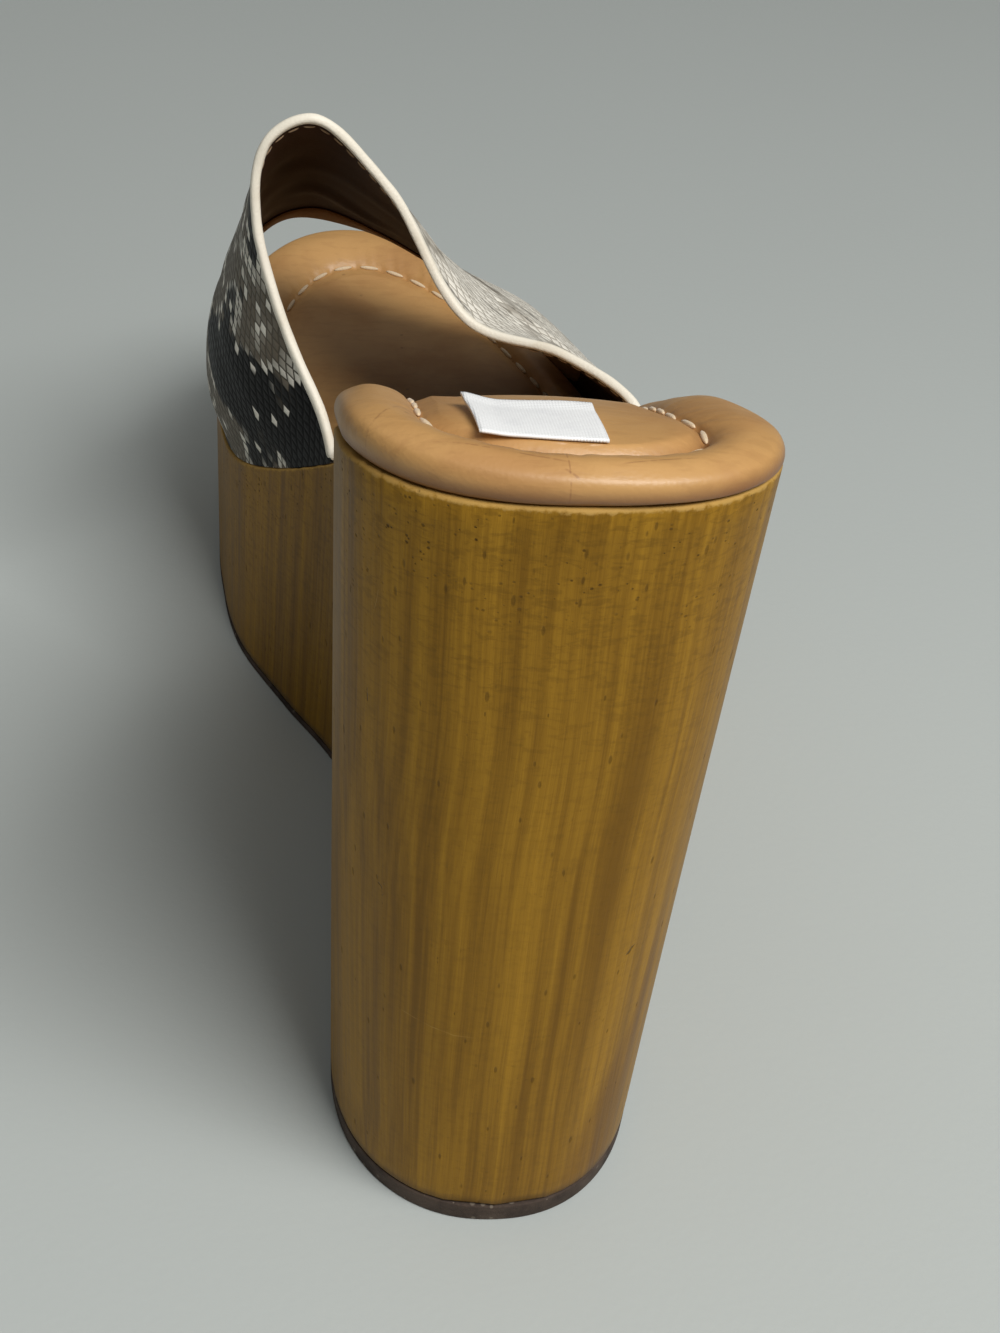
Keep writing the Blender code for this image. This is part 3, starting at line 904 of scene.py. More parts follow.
def wood_material(settings):
    nodes = Material("Varnished Wood", 0.46, 0.1)
    place_on, uv, rim = nodes.place_on, nodes.surface(), nodes.attribute("below_rim")
    light, stripes, relief = wood_grain(nodes, settings.stripe)
    base = nodes.blend(light, settings.dark, settings.light)
    flecks = nodes.noise(nodes.stretched(place_on, (1.0, 1.0, 0.45)), 420.0, 3.0, 0.7)
    base = nodes.tint(base, nodes.ramp(flecks, 0.54, 0.66), 0.10, display(84, 60, 12))
    base = nodes.tint(base, heartwood(nodes, uv), 0.42, display(104, 66, 8))
    curls = nodes.noise(nodes.stretched(place_on, (1.0, 1.0, 2.6)), 430.0, 3.0, 0.65, 0.6)
    curled = nodes.times(nodes.ramp(curls, 0.46, 0.66), nodes.ramp(rim, 6.0, 62.0, 0.34, 0.12))
    base = nodes.blend(curled, base, display(92, 64, 14))

    pits = nodes.specks(nodes.stretched(place_on, (1.0, 1.0, 0.3)), 1100.0, 0.3, 0.10)
    near_rim = nodes.ramp(rim, 2.0, 26.0, 1.0, 0.14)
    clump = nodes.ramp(nodes.noise(place_on, 130.0), 0.42, 0.62)
    grime = nodes.times(nodes.times(nodes.specks(place_on, 1300.0, 0.32, 0.42), near_rim), clump)
    dark = nodes.larger(nodes.times(pits, 0.42), nodes.times(grime, 0.8))
    base = nodes.blend(dark, base, display(58, 38, 14))
    base = nodes.tint(base, nodes.scratches(uv, PALE_SCRATCHES), 0.4, settings.worn)
    cut = nodes.scratches(uv, DARK_SCRATCHES)
    base = nodes.tint(base, cut, 0.7, display(60, 40, 14))

    ragged = nodes.times_plus(nodes.noise(place_on, 900.0, 3.0, 0.7), 1.8, nodes.times(rim, -1.0))
    worn = nodes.ramp(ragged, 0.1, 0.7)
    base = nodes.tint(base, worn, 0.8, settings.worn)
    foot = nodes.times_plus(nodes.noise(place_on, 300.0), -1.4, nodes.attribute("above_base"))
    base = nodes.blend(nodes.ramp(foot, -0.4, 1.6, 0.5, 0.0), base, display(62, 42, 20))

    relief = nodes.math("SUBTRACT", relief, nodes.times(nodes.larger(dark, cut), 1.2))
    sheen = nodes.times_plus(nodes.larger(worn, dark), 0.3, nodes.times_plus(stripes, 0.16, 0.34))
    return nodes.paint(base, relief, WOOD_PORES, Roughness=sheen, Coat_Weight=0.02, Coat_Roughness=0.32)


# --- Rubber

RUBBER_STEPS = 150


def rubber_layer(name, ends, closed, thickness, under, radius):
    """A rubber layer on the ground line under it; closed says which of back and front end in a point."""
    back, front = ends
    shares = even_shares(back, front, 0.0, RUBBER_STEPS)
    kept = slice(int(closed[0]), len(shares) - int(closed[1]))
    lower = rounded_edge(radius)
    upper = [(inset, thickness - rise) for inset, rise in reversed(lower)]
    sections = []
    for inset, rise in [*lower, (0.0, thickness * 0.5), *upper]:
        level = rise / HEEL_HEIGHT
        y = mix(back - HEEL_LEAN * level * closed[0] + inset, front - inset, shares)
        z = under(y) + rise
        lateral, medial = (np.column_stack([plan_x(y, side, level, inset), y, z]) for side in (1.0, -1.0))
        sections.append(np.vstack([lateral, medial[kept][::-1]]))
    return closed_loft(name, sections, lambda bm, ring: close_across(bm, ring, len(shares), closed[0]))


def rubber_material(settings):
    nodes = Material("Worn Rubber", 0.8, 0.25)
    place_on = nodes.place_on
    cloud = nodes.ramp(nodes.noise(place_on, 160.0, 4.0, 0.65), 0.35, 0.7)
    base = nodes.blend(cloud, settings.tone, display(58, 48, 42))
    base = nodes.tint(base, nodes.specks(place_on, 700.0, 0.3, 0.35), 0.45, display(150, 138, 122))
    upright = nodes.parts(nodes.add("ShaderNodeNewGeometry").outputs["Normal"])["Z"]
    ribs = nodes.times(nodes.wave(place_on, 90.0, 0.6, "X"), nodes.ramp(upright, -0.9, -0.5, 1.0, 0.0))
    relief = nodes.times_plus(ribs, 1.6, nodes.noise(place_on, 1800.0, 3.0, 0.7))
    return nodes.paint(base, relief, RUBBER_GRIT, Roughness=nodes.times_plus(cloud, 0.12, 0.72))


# --- Footbed

ROOM_OPENS = (-7.0, 1.0)  # where the room for the band opens, from the foot of its collar
ROOM_CLOSES = (0.6, 5.5)  # and where it closes, from the foot of its toe line
ROOM_INSETS = (3.0, 13.0)  # insets over which it runs out
BACK_GROOVE = 0.85  # how much deeper the groove lies behind the heel
BACK_GROOVE_END = 0.05  # share of the way to the toe over which that fades
TROUGH_WIDTH = 1.8  # how wide that deepening is
DIMPLE = 0.5  # depth of the needle holes at both ends of a stitch
HOLE_ACROSS, HOLE_ALONG = 0.55, 0.45
FOLD_SLOPE = ((5.5, 9.0), (11.0, 12.6))  # insets between which the folds come and go
FOLD_LENGTH = 2.9
FOLD_LEAST = 0.25  # share of their depth that the folds have along the straight sides
HEEL_TURN = (0.0, 0.14)  # shares of the way over which the roll's turn at the heel ends
TOE_TURN = (0.74, 0.9)  # and over which its turn at the toe begins
ROLL_SLOPE = ((1.0, 4.0), (9.0, 12.0))  # insets between which the roll's slow waves do
SWAY = ((0.16, 31.0), (0.08, 12.0))  # slow waves of the roll's height: depths and lengths
ROLL_WIDTH = (  # the roll's width beside the even one, at shares of the way from heel to toe
    (0.0, 0.64, 0.64),
    (0.02, 0.68, 0.70),
    (0.05, 0.88, 0.78),
    (0.09, 1.0, 0.80),
    (0.20, 1.0, 0.80),
    (0.40, 1.0, 1.0),
    (1.0, 1.0, 1.0),
)
DOME_START = 12.0  # length over which the swelling inside the stitches begins at the heel
DOME_END = 30.0  # how far from the toe it begins to end
FIELD_CUTS = 15  # rows of points inside the stitched groove
RIM_RINGS = 46
PAD_ROUNDS = 4  # after these a point's place along the foot and the heel's lean there agree


def band_room(y, side):
    """How far the footbed draws in to leave room for the band that stands on the rim."""
    back, _, front = LATERAL_FOOT_Y if side > 0 else MEDIAL_FOOT_Y
    return fade(y, np.add(back, ROOM_OPENS), np.add(front, ROOM_CLOSES)) * BAND_ROOM


def pad_half_ring(shares, side, inset, height):
    places, lateral, medial = zip(*ROLL_WIDTH)
    inset = inset * np.interp(shares, places, lateral if side > 0 else medial)
    y = LENGTH * shares
    for _ in range(PAD_ROUNDS):
        lean = HEEL_LEAN * (1.0 - rim_level(y))
        y = LENGTH * shares + inset * end_pull(shares) + lean * heel_pull(shares)
    room = band_room(y, side) * (1.0 - smoothstep(*ROOM_INSETS, inset))
    x = rim_x(y, side, inset) - side * room
    return np.column_stack([x, y, pad_z(x, y, height)])


def pad_z(x, y, height):
    """Height of a point of the padding that lies height above the seat, square to it."""
    z = seat_z(y) + GAP + height * seat_slant(y)
    swell = smoothstep(0.0, 1.0, height)
    return z - swell * PAD_BANK * x * (1.0 - smoothstep(0.0, PAD_BANK_END, y))


def pad_ring(shares, inset, heights):
    """A ring of the footbed; heights run round it from the heel over the lateral side and back."""
    count = len(shares)
    heights = np.broadcast_to(heights, (2 * count - 2,))
    medial_heights = np.r_[heights[0], heights[count:][::-1], heights[count - 1]]
    lateral = pad_half_ring(shares, 1.0, inset, heights[:count])
    return all_round(lateral, pad_half_ring(shares, -1.0, inset, medial_heights))


def field_dome(x, y):
    """Swelling of the padding inside the stitch line."""
    half = np.maximum(half_width(y, rim_level(y), FIELD_INSET), 1.0)
    across = np.clip(np.abs(x - rim_centre(y)) / half, 0.0, 1.0)
    ends = fade(y, (FIELD_INSET, FIELD_INSET + DOME_START), (LENGTH - DOME_END, LENGTH - FIELD_INSET))
    return FIELD_DOME * (1.0 - across**2) * ends


def field_z(x, y):
    return pad_z(x, y, FIELD_HEIGHT + field_dome(x, y))


def pad_profile(count):
    """Insets and heights along the rolled rim, close together where it turns."""
    return spline(list(PAD.values()), count)


def footbed_shares(steps):
    return even_shares(0.0, LENGTH, 1.0, steps)


def back_groove(shares):
    """How much deeper the groove lies behind the heel, round a ring."""
    return all_round(BACK_GROOVE * (1.0 - smoothstep(0.0, BACK_GROOVE_END, shares)))


def stitch_line(shares):
    """The groove's closed line round the footbed."""
    line = pad_ring(shares, GROOVE_INSET, GROOVE_HEIGHT - back_groove(shares))
    return np.vstack([line, line[:1]])


def build_footbed(settings):
    shares = footbed_shares(bpy.context.scene.sandal_studio.ring_points)
    run = arc_run(stitch_line(shares))
    phase = run / run[-1] * round(run[-1] * MM / settings.pitch)
    run, phase = run[:-1], phase[:-1]
    from_hole = np.abs(phase - np.round(phase)) * settings.pitch / MM
    turn = all_round(np.maximum(1.0 - smoothstep(*HEEL_TURN, shares), smoothstep(*TOE_TURN, shares)))
    folds = settings.pucker / MM * mix(FOLD_LEAST, 1.0, turn) * ripple(run, FOLD_LENGTH)
    sway = uneven(run, SWAY)
    sections = []
    for inset, height in pad_profile(RIM_RINGS):
        from_groove = inset - GROOVE_INSET
        holes = DIMPLE * bell(from_groove, HOLE_ACROSS) * bell(from_hole, HOLE_ALONG)
        trough = bell(from_groove, TROUGH_WIDTH) * back_groove(shares)
        lift = folds * fade(inset, *FOLD_SLOPE) + sway * fade(inset, *ROLL_SLOPE) - holes - trough
        sections.append(pad_ring(shares, inset, np.maximum(height + lift, 0.0)))
    bm = bmesh.new()
    rings = loft(bm, sections)
    close_across(bm, rings[0], len(shares))
    for vert in close_across(bm, rings[-1], len(shares), cuts=FIELD_CUTS):
        vert.co.z = field_z(vert.co.x, vert.co.y)
    pad = finish(bm, "footbed_leather")
    return pad


def footbed_surface(obj):
    """Height over the seat, which darkens the seam."""
    _, y, z = maker_coords(obj).T
    store(obj, "above_seat", (z - seat_z(y) - GAP) / seat_slant(y))


# Places in millimetres of the maker's frame, lengths, widths and bows in metres; angles in degrees
PAD_CREASES = (
    Scratch((-8.0, 4.6, 0.0), 14.0, 0.016, 0.00022, 0.0008),
    Scratch((-4.0, 5.8, 0.0), 5.0, 0.012, 0.00018, -0.0005),
    Scratch((9.0, 4.0, 0.0), -16.0, 0.010, 0.00018, 0.0006),
    Scratch((-1.0, 2.0, 0.0), 88.0, 0.006, 0.00014, 0.0002),
    Scratch((-0.8, 1.2, 0.0), 35.0, 0.002, 0.0002, 0.0),
    Scratch((-20.0, 14.0, 0.0), -60.0, 0.010, 0.00018, 0.0006),
)


def footbed_material(settings):
    nodes = Material("Tan Leather", 0.46, 0.45)
    place_on = nodes.place_on
    height, drift = nodes.leather(place_on, 1900.0, 60.0)
    tone = nodes.ramp(drift, 0.38, 0.68)
    base = nodes.tint(settings.leather, tone, 0.35, settings.handled)
    seam = nodes.ramp(nodes.attribute("above_seat"), 0.3, 2.6, 0.75, 0.0)
    base = nodes.blend(seam, base, display(112, 66, 34))
    creases = nodes.stretched(place_on, (0.35, 1.6, 1.6))
    lines = nodes.ramp(nodes.noise(creases, 420.0, 3.0, 0.6, 0.4), 0.50, 0.62)
    base = nodes.tint(base, lines, 0.10, display(122, 78, 42))
    for mark in PAD_CREASES:
        packed = mark._replace(place=(Vector(mark.place) + SHIFT) * MM)
        base = nodes.tint(base, nodes.scratch(place_on, packed), 0.4, display(126, 80, 48))
    base = nodes.tint(base, nodes.specks(place_on, 260.0, 0.12, 0.22), 0.35, display(96, 58, 30))
    relief = nodes.times_plus(lines, -0.3, height)
    return nodes.paint(base, relief, FOOTBED_PEBBLES, Roughness=nodes.times_plus(tone, 0.14, 0.40))


# --- Stitches

STITCH_SPHERE = {"u_segments": 8, "v_segments": 8, "radius": 1.0}  # what a stitch is stretched from
STITCH_REACH = 0.3  # a stitch runs between points this share of its length behind and ahead
THREAD_RISE = 0.28  # how far the footbed's thread lies above its groove, against its thickness
LINING_STITCH = 0.72  # length of a lining stitch, against its pitch
LINING_THREAD = 0.42
LINING_RISE = 0.08
UNDER_LINING = 0.02  # the lining stitches' line lies this far inside the wall
BESIDE_BINDING = 0.4  # and this far from the binding's edge


def stitch_row(name, line, ups, pitch, length, thickness, rise, closed):
    """Raised stitches along a line, each one a small spindle whose ends dip into the leather."""
    run = arc_run(line)
    count = round(run[-1] / pitch)
    middles = (np.arange(count) + 0.5) / count * run[-1]
    if not closed:
        middles = middles[1:-1]
    reach = STITCH_REACH * length
    behinds = read_columns(middles - reach, run, line)
    aheads = read_columns(middles + reach, run, line)
    bm = bmesh.new()
    for behind, ahead, up in zip(behinds, aheads, read_columns(middles, run, ups)):
        along = Vector(ahead - behind).normalized()
        over = Vector(up)
        over = (over - along * over.dot(along)).normalized()
        side = over.cross(along)
        middle = Matrix.Translation(Vector((behind + ahead) / 2.0) + over * rise)
        axes = Matrix((side * thickness / 2, over * thickness / 2, along * length / 2)).transposed()
        bmesh.ops.create_uvsphere(bm, matrix=middle @ axes.to_4x4(), **STITCH_SPHERE)
    return finish(bm, name)


def thread_material(name, tone):
    nodes = Material(name, 0.72, 0.3)
    fuzz = nodes.noise(nodes.place_on, 3200.0, 2.0, 0.7)
    base = nodes.blend(nodes.ramp(fuzz, 0.3, 0.7, 0.0, 0.35), tone, [part * 0.55 for part in tone])
    return nodes.paint(base, fuzz, THREAD_FUZZ, Sheen_Weight=0.25)


# --- Band

BAND_ACROSS = 180  # steps over the instep
BAND_ALONG = 60  # steps from collar to toe line


def band_line(column, index):
    """One line over the instep, from the seat at its medial foot to the seat at its lateral foot."""
    feet = []
    for y, side in ((MEDIAL_FOOT_Y[index], -1.0), (LATERAL_FOOT_Y[index], 1.0)):
        x, z = float(rim_x(y, side)) - side * RIM_STEP, float(seat_z(y))
        feet.append([(x, y, z - BAND_SINK), (x, y, z + GAP)])
    over = [getattr(station, column) for station in BAND]
    return spline(feet[0] + over + feet[1][::-1], BAND_ACROSS + 1, trim=1)


Crease = namedtuple("Crease", "name start end width depth")
BAND_CREASES = (  # both ends in the level, half width and depth
    Crease("lateral fold", (5.0, 160.0), (28.0, 149.0), 2.6, 0.85),
    Crease("lateral toe fold", (9.0, 176.0), (26.0, 168.0), 2.2, 0.65),
    Crease("lateral edge fold", (14.0, 187.0), (25.0, 181.0), 1.9, 0.5),
    Crease("hollow fold", (-4.0, 166.0), (8.0, 171.0), 2.6, 0.6),
    Crease("instep bend", (-30.0, 182.0), (-12.0, 184.0), 3.2, 0.7),
    Crease("medial bend", (-39.0, 174.0), (-36.0, 186.0), 2.6, 0.6),
)
FOOT_HOLD = 9.0  # how near a foot of the band its wall is drawn onto the wood's rim
FOOT_LIFT = 0.1  # how far it ends above the seat there
Wave = namedtuple("Wave", "depth length way")  # way is the direction in which it runs
BAND_WAVES = (Wave(0.22, 23.0, (0.8, 1.3, 0.0)), Wave(0.12, 13.0, (0.0, -0.6, 1.0)))
STILL_POWER = 8  # how closely folds and waves keep up their depth towards the band's feet
CREASE_END = 0.35  # share of its depth that a fold has at its ends
CREASE_FALL = 0.7  # how quickly it runs out sideways


def band_creases(x, y):
    """Depth of the soft folds that wear has left: a trough with a low ridge along both sides."""
    total = np.zeros_like(x)
    for crease in BAND_CREASES:
        start = np.array(crease.start)
        run = np.array(crease.end) - start
        along = ((x - start[0]) * run[0] + (y - start[1]) * run[1]) / float(run @ run)
        nearest = np.clip(along, 0.0, 1.0)
        apart = np.hypot(x - start[0] - nearest * run[0], y - start[1] - nearest * run[1]) / crease.width
        middle = mix(CREASE_END, 1.0, np.sin(np.pi * nearest))
        fall = CREASE_FALL * apart**2
        total += crease.depth * middle * (1.0 - fall) * np.exp(-fall)
    return total


def band_surface():
    """Points of the band's outer face and its outward normals, rows from collar to toe."""
    lines = [band_line(column, index) for index, column in enumerate(("collar", "middle", "toe"))]
    v = np.linspace(0.0, 1.0, BAND_ALONG + 1)[:, None, None]
    rows = (1 - v) * (1 - 2 * v) * lines[0] + 4 * v * (1 - v) * lines[1] + v * (2 * v - 1) * lines[2]
    for edge, side in ((0, -1.0), (-1, 1.0)):
        foot = rows[:, edge].copy()
        near = np.linalg.norm(rows - foot[:, None], axis=2)
        hold = 1.0 - smoothstep(0.0, FOOT_HOLD, near)
        snapped_x = rim_x(foot[:, 1], side) - side * RIM_STEP
        snapped_z = seat_z(foot[:, 1]) + FOOT_LIFT
        rows[:, :, 0] += hold * (snapped_x - foot[:, 0])[:, None]
        rows[:, :, 2] += hold * (snapped_z - foot[:, 2])[:, None]
    normals = unit(np.cross(np.gradient(rows, axis=0), np.gradient(rows, axis=1)))
    if normals[BAND_ALONG // 2, BAND_ACROSS // 2, 2] < 0:
        normals = -normals
    waves = sum(wave.depth * ripple(np.sum(rows * wave.way, axis=2), wave.length) for wave in BAND_WAVES)
    creases = band_creases(rows[:, :, 0], rows[:, :, 1])
    free = 1.0 - np.abs(np.linspace(-1, 1, BAND_ACROSS + 1)) ** STILL_POWER
    return rows + normals * ((waves - creases) * free)[:, :, None], normals


def band_sheet(name, depth, thickness, first, last):
    """A closed sheet that follows the band at a depth below its outer face, from row first to row last."""
    rows, normals = band_surface()
    outer = (rows - normals * depth)[first : last + 1]
    inner = (rows - normals * (depth + thickness))[first : last + 1]
    bm = bmesh.new()
    height, width = outer.shape[:2]
    for layer in (outer, inner):
        verts = bmesh.ops.create_grid(bm, x_segments=width - 1, y_segments=height - 1, size=1.0)["verts"]
        place(verts, layer.reshape(-1, 3))
    bmesh.ops.bridge_loops(bm, edges=[edge for edge in bm.edges if edge.is_boundary])
    return finish(bm, name)


def unwrap_band(obj):
    """A map in metres that keeps the scales the same size all over the band."""
    rows, _ = band_surface()
    across = arc_run(rows, axis=1)
    across -= across[:, BAND_ACROSS // 2 : BAND_ACROSS // 2 + 1]
    along = arc_run(rows)
    flat = rows.reshape(-1, 3)
    tree = KDTree(len(flat))
    for index, point in enumerate(flat):
        tree.insert(point, index)
    tree.balance()
    found = np.array([tree.find(point)[1] for point in maker_coords(obj)])
    u, v = across.ravel()[found] * MM, along.ravel()[found] * MM
    unwrap(obj, lambda centres, corners: (u[corners], v[corners]))
    store(obj, "across", (found % rows.shape[1]) / BAND_ACROSS)


SCALE_TURN = math.radians(45.0)  # the cells lie in diagonal rows


def scale_cells(nodes, uv, settings):
    """Scales of the print: distance to a scale's edge, the middle of the scale and three picks for it."""
    warp = nodes.vector("SCALE", nodes.noise(uv, 70.0, output="Color"), {"Scale": 0.0022})
    length, width = settings.scale_across / math.sqrt(2.0), settings.scale_along / math.sqrt(2.0)
    level = nodes.stretched(nodes.vector("ADD", uv, {1: warp}), (1.0 / length, 1.0 / width, 1.0))
    facts = {"vector": nodes.turned(level, SCALE_TURN), "scale": 1.0, "randomness": 0.28}
    cells = nodes.voronoi(**facts, voronoi_dimensions="2D")
    edge = nodes.voronoi(**facts, voronoi_dimensions="2D", feature="DISTANCE_TO_EDGE")["Distance"]
    centre = nodes.stretched(nodes.turned(cells["Position"], -SCALE_TURN), (length, width, 1.0))
    return edge, centre, nodes.add("ShaderNodeSeparateColor", {"Color": cells["Color"]}).outputs


def snakeskin_material(settings):
    nodes = Material("Snakeskin Print", 0.48, 0.12)
    uv = nodes.surface()
    edge, centre, pick = scale_cells(nodes, uv, settings)
    lateral = nodes.ramp(nodes.attribute("across"), 0.44, 0.60)

    spot = nodes.stretched(nodes.blend(0.35, centre, uv), (1.0, 0.7, 1.0))
    blotch = nodes.noise(spot, 1.0 / settings.blotch, 1.0, 0.5, 0.5)
    jitter = nodes.times_plus(pick[0], 0.05, -0.025)
    value = nodes.math("ADD", nodes.math("ADD", blotch, jitter), nodes.times_plus(lateral, 0.355, -0.05))
    border = nodes.times(nodes.ramp(value, 0.52, 0.58, 1.0, 0.0), nodes.math("GREATER_THAN", pick[1], 0.45))
    white = nodes.larger(border, nodes.ramp(value, 0.62, 0.74))
    taupe = nodes.tint(settings.taupe, pick[1], 0.4, display(98, 88, 74))
    ground = nodes.tint(settings.ground, pick[2], 0.25, settings.taupe)
    pale = nodes.blend(white, taupe, ground)
    scales = nodes.blend(nodes.ramp(value, 0.49, 0.52), settings.black, pale)
    odd = nodes.times(nodes.math("GREATER_THAN", pick[2], 0.9), nodes.ramp(value, 0.42, 0.45))
    scales = nodes.blend(odd, scales, settings.ground)
    streak = nodes.noise(nodes.stretched(uv, (0.16, 1.0, 1.0), -0.5), 620.0, 2.0, 0.5, 0.3)
    streaks = nodes.times(nodes.ramp(streak, 0.60, 0.68), nodes.times(lateral, 0.8))
    scales = nodes.blend(streaks, scales, display(60, 56, 50))

    seams = nodes.blend(nodes.ramp(value, 0.44, 0.60), display(8, 7, 7), display(92, 84, 72))
    seams = nodes.tint(seams, lateral, 0.6, display(206, 198, 182))
    base = nodes.blend(nodes.ramp(edge, 0.03, 0.16), seams, scales)
    cover = nodes.ramp(edge, 0.02, 0.30)
    relief = nodes.times_plus(nodes.noise(nodes.place_on, 2600.0, 2.0, 0.6), 0.12, cover)
    return nodes.paint(base, relief, settings.relief, Roughness=nodes.times_plus(cover, -0.14, 0.56))


def plain_leather(name, roughness, specular, grain, soil, depth, tone, soiled):
    """Pebbled leather of one colour, soiled in patches."""
    nodes = Material(name, roughness, specular)
    height, drift = nodes.leather(nodes.place_on, *grain)
    return nodes.paint(nodes.blend(nodes.ramp(drift, *soil), tone, soiled), height, depth)


def lining_material(name, tone):
    grain, soil = (2200.0, 90.0), (0.35, 0.7, 0.0, 0.45)
    return plain_leather(name, 0.6, 0.3, grain, soil, LINING_PEBBLES, tone, [part * 0.5 for part in tone])


def binding_material(settings):
    grain, soil = (2400.0, 120.0), (0.5, 0.78, 0.0, 0.35)
    tone, soiled = settings.binding, display(206, 190, 160)
    return plain_leather("Cream Binding", 0.5, 0.4, grain, soil, BINDING_PEBBLES, tone, soiled)


OVAL = 2.6  # power of the superellipse that a binding or a hem has as its section
ROUND_OFF = 3  # sections over which its ends close


def sweep(name, centres, sides, ups, half_side, half_up, count):
    """A closed strip with an oval section carried along a line, its ends rounded off."""
    turns = np.linspace(0.0, 2.0 * math.pi, count, endpoint=False)
    across, over = (np.sign(part) * np.abs(part) ** (2.0 / OVAL) for part in (np.cos(turns), np.sin(turns)))
    order = np.arange(len(centres))
    from_end = np.minimum(order, order[::-1])
    taper = np.where(from_end < ROUND_OFF, np.sin(math.pi / 2 * (from_end + 0.5) / (ROUND_OFF + 0.5)), 1.0)
    wide = sides * (half_side * taper)[:, None]
    thick = ups * (half_up * taper)[:, None]
    sections = centres[:, None] + across[:, None] * wide[:, None] + over[:, None] * thick[:, None]
    return closed_loft(name, sections, lambda bm, ring: bmesh.ops.contextual_create(bm, geom=ring))


def collar_frame(count):
    """The collar line evenly spaced: points on the outer face, outward normals, and ways out of the band."""
    rows, normals = band_surface()
    run = arc_run(rows[0])
    wanted = np.linspace(0.0, run[-1], count)
    points = read_columns(wanted, run, rows[0])
    ups = unit(read_columns(wanted, run, normals[0]))
    outs = read_columns(wanted, run, unit(rows[0] - rows[2]))
    for away in (unit(np.gradient(points, axis=0)), ups):
        outs -= away * np.sum(outs * away, axis=1, keepdims=True)
    return points, ups, unit(outs)


BINDING_STEP = 0.5  # how far the binding's middle stands in from the collar's edge
BINDING_WAVES = ((0.05, 9.0), (0.04, 6.5))  # how its width and its thickness vary: shares and lengths
HEM_ROWS = 7  # rows of the band that the hem takes up
HEM_SINK = 0.25  # how far the hem's middle lies inside the wall
HEM_THICK = 0.84
HEM_STEP = 0.2  # how far its sides stay back from these rows


def build_binding(settings):
    points, ups, outs = collar_frame(count=300)
    run = arc_run(points)
    sizes = zip((settings.binding_width, settings.binding_thickness), BINDING_WAVES)
    half_side, half_up = (full / MM / 2 * (1.0 + uneven(run, [wave])) for full, wave in sizes)
    centres = points - ups * SHOWN_WALL / 2 - outs * BINDING_STEP
    return sweep("collar_binding", centres, outs, ups, half_side, half_up, count=18)


def build_hem():
    """The lining's turned edge along the toe line."""
    rows, normals = band_surface()
    first = BAND_ALONG - HEM_ROWS
    centres = (rows[first] + rows[-1]) / 2 - (normals[first] + normals[-1]) / 2 * (SHOWN_WALL + HEM_SINK)
    sides = rows[-1] - rows[first]
    half_side = np.linalg.norm(sides, axis=1) / 2 - HEM_STEP
    half_up = np.full(len(half_side), HEM_THICK / 2)
    return sweep("toe_hem", centres, unit(sides), normals[-2], half_side, half_up, count=16)


# --- Label

LABEL_CORNER = (-9.9, 9.8)  # the corner nearest the heel's back, on the medial side
LABEL_ALONG = (0.999, -0.02)  # direction of its back edge
LABEL_UP = (-0.02, 0.87)  # direction of its sides, and how much they are foreshortened by the slope
LABEL_THICK = 0.35
LABEL_CELLS = 28
LABEL_CLEAR = 0.22  # height over the footbed where it lies flat
LIFTED_EDGE = 0.9  # how far the medial edge stands up
EDGE_REACH = 0.30  # share of its width that rises with it
EDGE_CURL = 1.6  # how late and sharply it rises
LIFTED_FRONT = 0.4  # how far the front edge stands up
FRONT_START = 0.75  # share of its depth where that begins
DRAWN_IN = 0.8  # how far the lifted edge is drawn sideways
LABEL_WAVE = 0.06  # depth of the waves across it


def label_point(u, v, side):
    """A point of the draped label; u runs along its back edge and v from there to the front."""
    ways = zip(LABEL_CORNER, LABEL_ALONG, LABEL_UP)
    x, y = (corner + side * (u * along + v * up) for corner, along, up in ways)
    edge = (1.0 - float(smoothstep(0.0, EDGE_REACH, u))) * (0.5 + 0.5 * v)
    wave = LABEL_WAVE * math.sin(7.0 * u + 2.0 * v) * (0.3 + v)
    lift = LIFTED_EDGE * edge**EDGE_CURL + LIFTED_FRONT * float(smoothstep(FRONT_START, 1.0, v)) + wave
    return x - DRAWN_IN * edge * v, y, float(field_z(x, y)) + LABEL_CLEAR + lift


def build_label(settings):
    side = settings.label_side
    bm = bmesh.new()
    verts = bmesh.ops.create_grid(bm, x_segments=LABEL_CELLS, y_segments=LABEL_CELLS, size=0.5)["verts"]
    place(verts, [label_point(vert.co.x + 0.5, vert.co.y + 0.5, side / MM) for vert in verts])
    obj = finish(bm, "heel_label")
    wall = obj.modifiers.new("Cloth", "SOLIDIFY")
    wall.thickness = LABEL_THICK * MM
    wall.offset = 1.0
    return obj


def label_material(settings):
    nodes = Material("Woven Label", 0.55, 0.35)
    warp = nodes.wave(nodes.place_on, 900.0, 0.4, "X")
    weft = nodes.wave(nodes.place_on, 700.0, 0.4, "Y")
    shade = nodes.ramp(nodes.noise(nodes.place_on, 300.0, 3.0), 0.45, 0.75, 0.0, 0.3)
    base = nodes.blend(shade, settings.label, display(214, 214, 216))
    return nodes.paint(base, nodes.times(warp, weft), WEAVE, Sheen_Weight=0.3)


# --- Studio

CAMERA_PLACE = (-0.0302, -0.3037, 0.2661)
CAMERA_TURN = (7.767, 38.116, 4.927)  # degrees to the right of straight ahead, down and rolled
CAMERA_CLIP = (0.01, 50.0)
SENSOR_WIDTH = 36.0
FLOOR_RADIUS = 1.6
FLOOR_SIDES = 96
Softbox = namedtuple("Softbox", "place aim sides")
KEY = Softbox((0.36, -0.60, 0.95), (0.0, -0.04, 0.06), (0.6, 0.45))
FILL = Softbox((0.0, 0.6, 3.6), (0.0, 0.6, 0.0), (7.0, 7.0))
SKY_TONE = (0.93, 0.95, 0.94)


